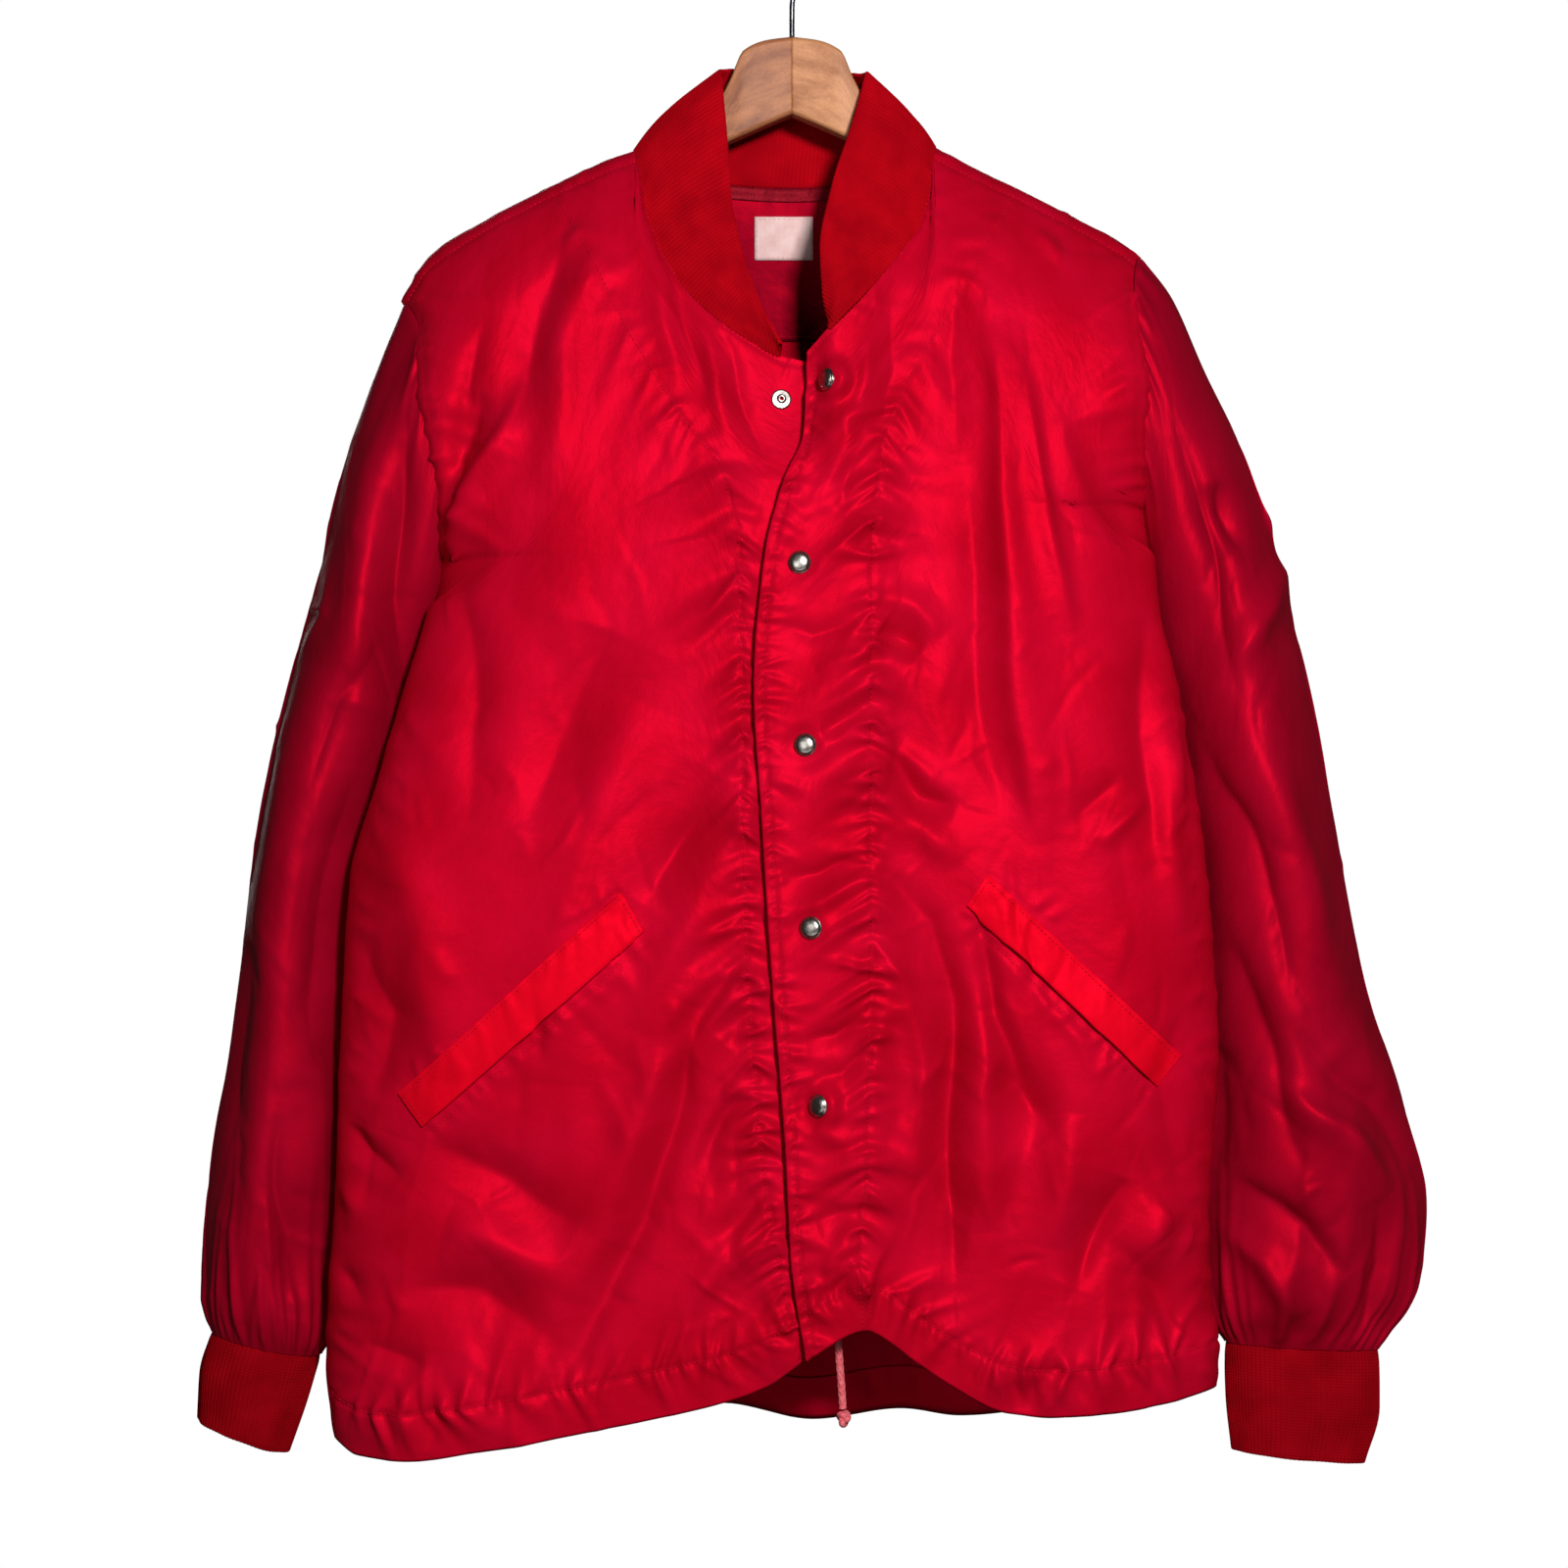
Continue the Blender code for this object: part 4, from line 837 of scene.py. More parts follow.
def nickel_plate():
    """Nickel-plated brass, pressed and polished: a mirror with fine scratches."""
    finish, tree, shader, places = blank_finish("nickel_plated_brass", False, {"Metallic": 1.0})
    mottle(tree, shader, places, 260, "#8E8983", "#B8B3AB")
    scratches = add(tree, "ShaderNodeTexNoise", values={"Scale": 900.0, "Detail": 4.0},
                    links={"Vector": places}).outputs["Fac"]
    rough = add(tree, "ShaderNodeMapRange", values={"To Min": 0.2, "To Max": 0.34},
                links={"Value": scratches}).outputs["Result"]
    tree.links.new(rough, shader.inputs["Roughness"])
    bumped(tree, shader, [(scratches, 0.12, 0.0001)])
    return finish


def plated_wire():
    """Zinc-plated steel wire, drawn: bright, with faint lines along it."""
    finish, tree, shader, places = blank_finish("zinc_plated_steel_wire", False, {
        "Metallic": 1.0, "Roughness": 0.28})
    mottle(tree, shader, places, 180, "#4A4B4E", "#77787C")
    lines = add(tree, "ShaderNodeTexNoise", values={"Scale": 700.0, "Detail": 2.0},
                links={"Vector": places}).outputs["Fac"]
    bumped(tree, shader, [(lines, 0.1, 0.0001)])
    return finish


# Beech: the growth rings run along the arm, about 5 mm apart, with flecks 2 mm long.
GROWTH_RING = 5.0


def beech(name, early, late):
    """Beech, planed and satin lacquered: warm grain lines along the arm and short flecks."""
    finish, tree, shader, places = blank_finish(name, True, {"Roughness": 0.6})
    drawn = add(tree, "ShaderNodeMapping", values={"Scale": (1.0, 0.09, 1.0)},
                links={"Vector": places}).outputs["Vector"]
    rings = {"Scale": 1.6 / GROWTH_RING, "Detail": 6.0, "Roughness": 0.62, "Distortion": 0.4}
    grain = drifting(tree, drawn, rings, late, early, (0.36, 0.62))
    flecked = add(tree, "ShaderNodeMapping", values={"Scale": (3.2, 0.45, 1.0)},
                  links={"Vector": places}).outputs["Vector"]
    flecks = add(tree, "ShaderNodeTexNoise", values={"Scale": 1.0, "Detail": 2.0},
                 links={"Vector": flecked}).outputs["Fac"]
    shade = add(tree, "ShaderNodeMapRange",
                values={"From Min": 0.3, "From Max": 0.7, "To Min": 0.86, "To Max": 1.04},
                links={"Value": flecks}).outputs["Result"]
    tinted = add(tree, "ShaderNodeMix", {"data_type": "RGBA", "blend_type": "MULTIPLY"},
                 {"Factor": 1.0}, {"A": grain, "B": shade})
    tree.links.new(tinted.outputs["Result"], shader.inputs["Base Color"])
    bumped(tree, shader, [(flecks, 0.15, 0.0001)])
    return finish


# The label's threads are 0.25 mm apart, and are drawn nearly three times as coarse.
LABEL_THREAD = 0.7


def woven_label():
    """A woven taffeta label, washed many times: off-white with a pink cast where the dye ran."""
    finish, tree, shader, places = blank_finish("woven_taffeta_label", True, {"Roughness": 0.8})
    mottle(tree, shader, places, 1 / 9, "#DCB0AC", "#E8C6C2", (0.3, 0.6))
    warp, weft = threads(tree, places, "XY", LABEL_THREAD)
    bumped(tree, shader, [(warp, 0.3, 0.0002), (weft, 0.3, 0.0002)])
    return finish


def cotton_braid():
    """Braided cotton, faded from red to salmon pink by washing: matt and a little fuzzy."""
    finish, tree, shader, places = blank_finish("braided_cotton", False, {"Roughness": 0.92})
    mottle(tree, shader, places, 500, "#C8434C", "#DE7078")
    fuzz = add(tree, "ShaderNodeTexNoise", values={"Scale": 2600.0, "Detail": 2.0},
               links={"Vector": places}).outputs["Fac"]
    bumped(tree, shader, [(fuzz, 0.5, 0.0002)])
    return finish


def studio_paper():
    """The studio's pale paper: matt white, and lit from below as a light table is."""
    finish, tree, shader, places = blank_finish("studio_paper", False, {
        "Roughness": 0.9, "Emission Color": linear("#FFFFFF"), "Emission Strength": 0.86})
    mottle(tree, shader, places, 3, "#FCFCFC", "#FFFFFF")
    return finish


# ---- Making the pieces


def grid_quads(points, wrap):
    """The quads between a grid's points, by number."""
    rows, columns = points.shape[:2]
    index = np.arange(rows * columns).reshape(rows, columns)
    following = np.roll(index, -1, axis=1)
    last = columns if wrap else columns - 1
    quads = np.stack([index[:-1, :last], index[1:, :last],
                      following[1:, :last], following[:-1, :last]], axis=-1)
    return quads.reshape(-1, 4).tolist()


def grid_mesh(name, points, wrap=False):
    """A mesh of quads through a grid of points, with millimetres along the cloth as its UV."""
    rows, columns = points.shape[:2]
    mesh = bpy.data.meshes.new(name)
    mesh.from_pydata((points.reshape(-1, 3) * MM).tolist(), [], grid_quads(points, wrap))
    middle_row = points[rows // 2]
    across = walked(np.concatenate([middle_row, middle_row[:1]]))
    down = walked(points[:, columns // 2])
    j, i = np.meshgrid(np.arange(columns if wrap else columns - 1), np.arange(rows - 1))
    u = np.stack([across[j], across[j], across[j + 1], across[j + 1]], axis=-1)
    v = np.stack([down[i], down[i + 1], down[i + 1], down[i]], axis=-1)
    layer = mesh.uv_layers.new(name="Weave")
    layer.data.foreach_set("uv", np.stack([u, v], axis=-1).astype(np.float32).ravel())
    mesh.shade_smooth()
    return mesh


def make_piece(name, mesh, finish, slot, *nodes):
    """A piece of the windbreaker: it rides on the body and stands for its solids."""
    mesh.materials.append(finish)
    piece = bpy.data.objects.new(name, mesh)
    bpy.context.scene.collection.objects.link(piece)
    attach(piece, "root")
    if nodes:
        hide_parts(*nodes)
    return piece


def grid_piece(name, points, finish, slot, *nodes, wrap=False):
    """A piece whose mesh goes through a grid of points."""
    return make_piece(name, grid_mesh(name, points, wrap), finish, slot, *nodes)


def thickened(piece, thickness):
    """Gives a cloth its thickness, half on each side."""
    wall = piece.modifiers.new("Cloth", "SOLIDIFY")
    wall.thickness = thickness * MM
    wall.offset = 0.0
    return piece


def cloth_tree(points):
    """The faces of a grid, to find the place on the cloth in front of a point."""
    return BVHTree.FromPolygons(points.reshape(-1, 3).tolist(), grid_quads(points, False))


# Farther out than any cloth, in front and behind.
OUTSIDE = 400


def on_cloth(tree, x, z, face=-1):
    """The cloth's place and normal at a point of the front view, or of the back view."""
    place, normal, _, _ = tree.ray_cast(Vector((x, face * OUTSIDE, z)), Vector((0, -face, 0)))
    if place is None:
        return None, None
    return place, normal if normal.y * face > 0 else -normal


def turned_in(points, normals, count, axis):
    """A grid and its normals, with its last rows or columns turned back inside the cloth."""
    if axis == 0:
        back, out = points[-2:-2 - count:-1], normals[-2:-2 - count:-1]
        step = np.arange(1, count + 1)[:, None, None]
    else:
        back, out = points[:, -2:-2 - count:-1], normals[:, -2:-2 - count:-1]
        step = np.arange(1, count + 1)[None, :, None]
    depth = TURNED_IN * np.sin(np.minimum(1.0, step / 2) * math.pi / 2)
    return (np.concatenate([points, back - out * depth], axis=axis),
            np.concatenate([normals, out], axis=axis))


def folded_wall(points, relief, half, outward=1.0, wrap=False):
    """A closed wall through a grid: along its outside, round its last row, and back inside."""
    normals = normals_of(points, wrap) * outward
    lift = (relief + 0 * points[..., 0])[..., None]
    outer = points + normals * (lift + half)
    inner = points + normals * (lift - half)
    tip = unit(points[-1] - points[-2])
    turn = np.linspace(0, math.pi, 5)[1:-1, None, None]
    bend = points[-1] + normals[-1] * (half * np.cos(turn) + lift[-1]) + tip * half * np.sin(turn)
    rows = np.concatenate([outer, bend, inner[::-1], outer[:1]])
    return rows if outward > 0 else rows[:, ::-1]


# ---- The panels

# Where each piece's own chance creases start from.
SEED = {
    "front_right": 11, "front_left": 29, "back": 47, "sleeve_right": 61, "sleeve_left": 83,
    "cuff_right": 7, "cuff_left": 13, "collar": 19, "welt_right": 3, "welt_left": 5,
}

# The sign that turns a grid's normals out of the garment.
OUTWARD = {"right": 1.0, "left": -1.0, "back": -1.0}
Panel = namedtuple("Panel", "points tree smooth_tree")

# The caps from the neck down, and the first one's own stud, which shows because it is open. The
# cloth lies flat round each snap, and a fold under each cap turns it to the right.
SNAPS = table(Line, (19, -258), (4, -357), (7, -455), (10, -553), (14, -648))
OPEN_STUD = Line(-6, -267)
SNAP_CALM = 9.0
SNAP_LEAN = [1.0, 0.1, 0.16, 0.26, 0.75]
LEAN_REACH = 11.0
LEAN_LIFT = 3.0

# Each welt's corners: its inner end's top and foot, and its outer end's. Then how far the line
# along its foot is sewn from it, and how far inside the welt its own line runs.
POCKET = {
    "right": [(-92, -534), (-80, -555), (-212, -643), (-199, -660)],
    "left": [(105, -525), (94, -541), (210, -623), (197, -639)],
}
POCKET_STITCH = 5.5
WELT_INSET = 2.0

# How many rows and columns of the grid a front's turned-up hem and turned-in edge take.
HEM_TURN_ROWS = 14
EDGE_TURN_COLUMNS = 9


# Over how far a panel's folds die away towards its sides and its top.
SIDE_FADE = 14
TOP_FADE = 26


def inside_seams(points, *sides):
    """0 at a panel's sides and top, where it is sewn to its neighbours, and 1 away from them."""
    x, z = points[..., 0], points[..., 2]
    away = np.minimum.reduce([np.abs(x - read(EDGE[side], z, "x")) for side in sides])
    return ease(away / SIDE_FADE) * ease((points[:1, :, 2] - z) / TOP_FADE)


def edge_line(side, inset):
    """A line down the front, inside its edge."""
    heights = np.linspace(*FRONT_EDGE_RUN, 24)
    edge = read(FRONT_EDGE[side], heights, "x") - INWARD[side] * inset
    return list(zip(edge.tolist(), heights.tolist()))


def table_line(rows, drop):
    """A line through a table's rows, moved up or down."""
    return [(row.x, row.z + drop) for row in rows]


def armhole_line(side, inset):
    """A line down a panel, inside its armhole."""
    heights = np.linspace(ARMHOLE[side].top - 12, ARMHOLE[side].foot + 4, 12)
    edge = read(EDGE[side], heights, "x") + INWARD[side] * inset
    return list(zip(edge.tolist(), heights.tolist()))


def pocket_frame(side):
    """A welt's four corners, and the directions along it and down it."""
    top_in, foot_in, top_out, foot_out = np.array(POCKET[side], float)
    return (top_in, foot_in, top_out, foot_out), unit(top_out - top_in), unit(foot_in - top_in)


def pocket_line(side, upper, inset):
    """A line along a welt's upper edge or its lower one, moved down by the inset."""
    (top_in, foot_in, top_out, foot_out), _, down = pocket_frame(side)
    first, last = (top_in, top_out) if upper else (foot_in, foot_out)
    run = unit(last - first) * WELT_INSET
    return [tuple(first + down * inset + run), tuple(last + down * inset - run)]


def in_pocket(side, x, z):
    """1 under a welt, and 0 away from it."""
    (top_in, foot_in, top_out, _), _, _ = pocket_frame(side)
    run, down = top_out - top_in, foot_in - top_in
    across = ((x - top_in[0]) * run[0] + (z - top_in[1]) * run[1]) / np.dot(run, run)
    height = ((x - top_in[0]) * down[0] + (z - top_in[1]) * down[1]) / np.dot(down, down)
    inside = ease((across + 0.03) / 0.05) * ease((1.03 - across) / 0.05)
    return inside * ease((height + 0.1) / 0.2) * ease((1.05 - height) / 0.2)


def strewn(rng, box, x, z, share=1.0):
    """Small and middling creases over a box of the front view."""
    small = scattered_folds(rng, int(120 * share), box, (14, 60), (2.2, 5), (0.2, 0.9), -80, 34)
    middle = scattered_folds(rng, int(26 * share), box, (30, 110), (5, 9), (0.4, 1.1), -84, 20)
    large = scattered_folds(rng, int(16 * share), box, (70, 180), (12, 22), (0.6, 1.6), -84, 14)
    return fold_relief(small + middle + large, x, z)


def front_folds(side, x, z, rng):
    """The folds and creases of a front panel, without its seams."""
    x, z = wandered(x, z, rng, 2.5, 90)
    box = (-240, 20, -800, -180) if side == "right" else (40, 225, -790, -180)
    creased = mix(0.45, 1.0, ease((-400 - z) / 180))
    return fold_relief(FRONT_FOLDS[side], x, z) + creased * strewn(rng, box, x, z)


def front_seams(side, x, z, rng):
    """The puckers along every seam of a front panel."""
    stitch = FACING_STITCH[side]
    tight = mix(0.25, 1.0, ease((-240 - z) / 90))
    relief = tight * line_puckers(x, z, stitch, rng, "facing")
    relief += tight * line_puckers(x, z, stitch, rng, "facing_wide")
    side_seam = [(row.x + INWARD[side] * 9, row.z) for row in EDGE[side] if row.z < -400]
    relief += line_puckers(x, z, side_seam, rng, "side")
    if side == "left":
        relief += line_puckers(x, z, edge_line(side, EDGE_STITCH_INSET), rng, "front_edge")
    hem = table_line(FRONT_HEM[side], HEM_STITCH)
    for line, kind in (
            (hem, "hem"), (hem, "hem_wide"),
            (table_line(SHOULDER[side], -SHOULDER_STITCH_DROP), "shoulder"),
            (table_line(FRONT_NECK[side], -NECK_STITCH_DROP), "neck"),
            (armhole_line(side, 5), "armhole"),
            (pocket_line(side, True, -1.0), "pocket"),
            (pocket_line(side, False, POCKET_STITCH), "pocket")):
        relief += line_puckers(x, z, line, rng, kind)
    return relief + fold_relief([Fold(pocket_line(side, False, 0.6), 2.4, -1.3)], x, z)


def calmed(x, z, relief, spots):
    """The relief with the cloth held flat under each snap."""
    for spot in spots:
        away = np.hypot(x - spot.x, z - spot.z)
        relief = relief * (1 - np.exp(-(away / SNAP_CALM) ** 4))
    return relief


def leaned(x, z, relief):
    """The left front's relief, with the cloth under each cap turned to its side."""
    for spot, lean in zip(SNAPS, SNAP_LEAN):
        away = np.hypot(x - spot.x, z - spot.z)
        relief = relief + lean * (x - spot.x + LEAN_LIFT) * np.exp(-(away / LEAN_REACH) ** 4)
    return relief


def make_front(side):
    """A front panel's cloth, with its folds and its puckered seams."""
    rng = random.Random(SEED[f"front_{side}"])
    points = front_form(side)
    x, z = points[..., 0], points[..., 2]
    relief = front_folds(side, x, z, rng) * inside_seams(points, side)
    seams = front_seams(side, x, z, rng)
    snaps = SNAPS if side == "left" else [OPEN_STUD]
    lapped = 0.0
    if side == "right":
        lapped = ease((x - read(FRONT_EDGE["left"], z, "x") + 6) / 14) * ease((-300 - z) / 40)
    relief = mix(relief, np.clip(relief, -4.0, 0.0), lapped)
    smooth = raised(points, calmed(x, z, relief, snaps), outward=OUTWARD[side])
    relief = relief + seams * (1 - 0.9 * in_pocket(side, x, z)) * (1 - 0.8 * lapped)
    relief = calmed(x, z, relief, snaps)
    if side == "left":
        relief = leaned(x, z, relief)
    cloth = raised(points, relief, outward=OUTWARD[side])
    return Panel(cloth, cloth_tree(cloth), cloth_tree(smooth))


def sew_front(side, panel, finish):
    """A front with its hem turned up and its edge turned in."""
    normals = normals_of(panel.points) * OUTWARD[side]
    points, normals = turned_in(panel.points, normals, HEM_TURN_ROWS, 0)
    points, normals = turned_in(points, normals, EDGE_TURN_COLUMNS, 1)
    return grid_piece(f"front_{side}_cloth", points, finish, "nylon",
                      f"front_{side}", f"casing_{side}")


def make_back():
    """The back panel's cloth."""
    rng = random.Random(SEED["back"])
    points = back_form()
    x, z = points[..., 0], points[..., 2]
    moved_x, moved_z = wandered(x, z, rng, 2.5, 90)
    relief = fold_relief(BACK_FOLDS, moved_x, moved_z)
    relief += strewn(rng, (-230, 210, -800, -180), moved_x, moved_z, 1.5)
    relief *= inside_seams(points, "right", "left")
    smooth = raised(points, relief, outward=OUTWARD["back"])
    seams = line_puckers(x, z, table_line(BACK_HEM, HEM_STITCH), rng, "back_hem")
    for side in ("right", "left"):
        shoulder = table_line(SHOULDER[side], -SHOULDER_STITCH_DROP)
        seams += line_puckers(x, z, shoulder, rng, "back_shoulder")
        seams += line_puckers(x, z, armhole_line(side, 5), rng, "back_armhole")
    seams += line_puckers(x, z, table_line(BACK_NECK, -NECK_STITCH_DROP), rng, "back_neck")
    cloth = raised(points, relief + seams, outward=OUTWARD["back"])
    return Panel(cloth, cloth_tree(cloth), cloth_tree(smooth))


def sew_back(panel, finish):
    """The back with its hem turned up."""
    normals = normals_of(panel.points) * OUTWARD["back"]
    points, _ = turned_in(panel.points, normals, HEM_TURN_ROWS // 2, 0)
    return grid_piece("back_cloth", points, finish, "nylon", "back", "casing_back")


# ---- The sleeves, cuffs and collar


def gathers(angles, to_end, rng):
    """The gathers that the cuff draws into a sleeve's end."""
    relief = np.zeros(to_end.shape)
    for k in range(GATHERS):
        middle = 2 * math.pi * (k + rng.uniform(-0.35, 0.35)) / GATHERS
        width = math.pi / GATHERS * rng.uniform(0.5, 0.95)
        reach = rng.uniform(22, 80)
        lean = rng.uniform(-0.004, 0.004)
        rise = rng.uniform(1.6, 4.0)
        away = (angles - middle - lean * to_end + math.pi) % (2 * math.pi) - math.pi
        relief += rise * np.exp(-(away / width) ** 2 - (to_end / reach) ** 1.6)
    return (relief - 1.2 * np.exp(-to_end / 30)) * (1 - 0.8 * np.exp(-(to_end / 6) ** 2))


def sleeve_relief(side, points, rng):
    """A sleeve's folds on its front, similar ones on its back, its armhole's and its cuff's."""
    x, z = points[..., 0], points[..., 2]
    angles = round_turns(SLEEVE_COLUMNS)[None, :]
    front = ease((np.sin(angles) + 0.3) / 0.6)
    moved_x, moved_z = wandered(x, z, rng, 2.0, 80)
    box = (-320, -200, -770, -230) if side == "right" else (205, 340, -770, -230)
    folds = fold_relief(SLEEVE_FOLDS[side], moved_x, moved_z)
    folds = folds + strewn(rng, box, moved_x, moved_z, 0.5)
    behind = fold_relief(SLEEVE_FOLDS[side], moved_x + 6, moved_z - 34)
    behind = behind + strewn(rng, box, moved_x, moved_z, 0.5)
    down = walked(points)
    to_end = down[-1:] - down
    round_hole = walked(np.concatenate([points[0], points[0, :1]]))
    relief = mix(behind, folds, front) * ease(down / 24) * ease(to_end / 20)
    relief += seam_puckers(round_hole[None, :-1] + 0 * down, down, round_hole[-1], rng,
                           "sleeve_head")
    relief += gathers(angles + 0 * down, to_end, rng)
    return relief + (KNIT / 2 + 0.3) * ease(1 - to_end / 14)


def make_sleeve(side, finish):
    """A sleeve's cloth, from its armhole to its cuff."""
    rng = random.Random(SEED[f"sleeve_{side}"])
    points = sleeve_form(side)
    cloth = raised(points, sleeve_relief(side, points, rng), True, OUTWARD[side])
    return grid_piece(f"sleeve_{side}_cloth", cloth, finish, "nylon", f"sleeve_{side}", wrap=True)


def ribs(count):
    """Wide ribs with narrow furrows between them, four steps to a rib."""
    return RIB_RISE * np.tile([1.0, 0.35, -1.0, 0.35], count)[None, :]


def make_cuff(side, finish):
    """A cuff of rib knit, folded at its free edge."""
    rng = random.Random(SEED[f"cuff_{side}"])
    top = CUFF[side][0]
    wide, deep = abs(top.outer_x - top.inner_x) / 2, top.depth
    count = round(2 * math.pi * math.sqrt((wide ** 2 + deep ** 2) / 2) / RIB_PITCH)
    shares = np.linspace(0, 1, CUFF_ROWS + 1)[:, None]
    angles = round_turns(count * STEPS_PER_RIB)[None, :]
    points = ring_points(rings_at(CUFF[side], shares), angles + 0 * shares, 0.0)
    waves = 0.0
    for turns in (3, 5, 8):
        phase = rng.uniform(0, 2 * math.pi)
        waves = waves + np.sin(turns * angles + phase + shares * rng.uniform(-1, 1))
    relief = ribs(count) + 0.45 * waves * ease(shares * 3) - 0.9 * np.exp(-(shares / 0.06) ** 2)
    wall = folded_wall(points, relief, KNIT / 2, OUTWARD[side], True)
    return grid_piece(f"cuff_{side}_knit", wall, finish, "rib_knit", f"cuff_{side}", wrap=True)


# The collar's free edge, by shares of its length, and how far the band bulges out below it. Its
# foot is sewn in below the neck's seam.
Rib = namedtuple("Rib", "share x y z bulge")
COLLAR = table(Rib,
    (0.00, -7, -49, -238, 0.0), (0.05, -18, -46, -214, 0.5), (0.12, -28, -41, -186, 2.0),
    (0.19, -34, -32, -155, 4.0), (0.26, -37, -19, -113, 6.0), (0.30, -39, -12, -92, 6.5),
    (0.33, -40, -2, -81, 7.0), (0.42, -30, 14, -77, 6.0), (0.51, 0, 24, -78, 5.0),
    (0.61, 30, 15, -79, 6.0), (0.69, 41, -2, -82, 7.0), (0.73, 39, -13, -93, 6.5),
    (0.77, 34, -20, -112, 6.0), (0.85, 23, -31, -147, 4.0), (0.92, 16, -41, -184, 2.0),
    (0.97, 17, -47, -208, 0.5), (1.00, 19, -50, -223, 0.0))
COLLAR_FOOT_DROP = 1.5


def neck_line(count):
    """Even points along the neck seam, from the right front's end round to the left's."""
    share = np.linspace(0, 1, 300)
    pieces = []
    for side in ("right", "left"):
        x = mix(NECK_POINT[side], COLLAR_END[side], share ** 2.2)
        z = read(FRONT_NECK[side], x, "z")
        y = read(FRONT_NECK[side], x, "y") + lap_push(side, x, z)
        pieces.append(np.stack([x, y, z], axis=-1))
    x = mix(NECK_POINT["right"], NECK_POINT["left"], (1 - np.cos(math.pi * share)) / 2)
    behind = np.stack([x, read(BACK_NECK, x, "y"), read(BACK_NECK, x, "z")], axis=-1)
    points = np.concatenate([pieces[0][::-1], behind[1:-1], pieces[1]])
    lengths = walked(points)
    even = np.linspace(0, lengths[-1], count)
    line = np.stack([np.interp(even, lengths, points[:, k]) for k in range(3)], axis=-1)
    return line, even / lengths[-1], lengths[-1]


def make_collar(finish):
    """The collar of rib knit, folded at its free edge."""
    rng = random.Random(SEED["collar"])
    count = round(neck_line(2)[2] / RIB_PITCH)
    base, share, _ = neck_line(count * STEPS_PER_RIB)
    free = np.stack([read(COLLAR, share, axis) for axis in "xyz"], axis=-1)
    foot = base - unit(free - base) * COLLAR_FOOT_DROP
    outward = unit(base * [1, 1, 0])
    bulge = read(COLLAR, share, "bulge")[:, None]
    up = np.linspace(0, 1, COLLAR_ROWS + 1)[:, None, None]
    points = mix(foot, free, up) + outward * bulge * np.sin(math.pi * up) * 0.8
    waves = 0.0
    for turns in (5, 9, 14):
        phase = rng.uniform(0, 2 * math.pi)
        waves = waves + np.sin(2 * math.pi * turns * share + phase)[None, :]
    relief = ribs(count) + 0.5 * waves * ease(up[..., 0] * 1.5)
    wall = folded_wall(points, relief, KNIT / 2)
    return grid_piece("collar_knit", wall, finish, "rib_knit", "collar")


# ---- The welts, the facing and the label

# A welt: how far its middle stands off the front, half its thickness, how far its foot leans out,
# how far below its top it is sewn, and its rows and columns.
WELT_LIFT = 1.2
WELT_HALF = 0.7
WELT_LEAN = 1.5
WELT_SEAM = 2.5
WELT_GRID = (13, 84)

# The facing, and the overlocked seam over its top. Their tops and the overlocked seam's foot are
# measured from the neck's seam, and their lifts from the back.
FACING_SIDES = (-66.0, 60.0)
FACING_TOP = -5.0
FACING_FOOT = -225.0
FACING_LIFT = 1.0
FACING_ROWS = 44
FACING_COLUMNS = 120
OVERLOCK_TOP = -2.0
OVERLOCK_FOOT = -9.0
OVERLOCK_LIFT = 1.9
OVERLOCK_ROWS = 9

# The label: its two sides, its foot and its top, and its thickness, lift, rows and columns.
LABEL_BOX = (-21.0, 12.0, -180.0, -156.0)
LABEL_CLOTH = 0.6
LABEL_LIFT = 0.9
LABEL_GRID = (14, 18)


def laid_on(tree, corners, rows, columns, lift):
    """A grid laid on a cloth, between its upper corners and its lower ones."""
    top_first, foot_first, top_last, foot_last = [np.array(corner, float) for corner in corners]
    points = np.zeros((rows, columns, 3))
    for i, down in enumerate(np.linspace(0, 1, rows)):
        for j, across in enumerate(np.linspace(0, 1, columns)):
            spot = mix(mix(top_first, top_last, across), mix(foot_first, foot_last, across), down)
            place, normal = on_cloth(tree, *spot)
            points[i, j] = place + normal * lift
    return points


def make_welt(side, panel, finish):
    """A pocket's welt: two plies of nylon, sewn at its ends and its upper edge."""
    rng = random.Random(SEED[f"welt_{side}"])
    rows, columns = WELT_GRID
    points = laid_on(panel.smooth_tree, POCKET[side], rows, columns, WELT_LIFT)
    length = np.linalg.norm(points[0, -1] - points[0, 0])
    height = np.linalg.norm(points[-1, 0] - points[0, 0])
    along, down = np.meshgrid(np.linspace(0, length, columns), np.linspace(0, height, rows))
    relief = seam_puckers(along, down - WELT_SEAM, length, rng, "welt")
    swell = ease(along / 14) * ease((length - along) / 14)
    relief += WELT_LEAN * swell * (down / height) ** 1.3
    wall = folded_wall(points, relief, WELT_HALF, -OUTWARD[side])
    return grid_piece(f"welt_{side}_cloth", wall, finish, "nylon", f"welt_{side}")


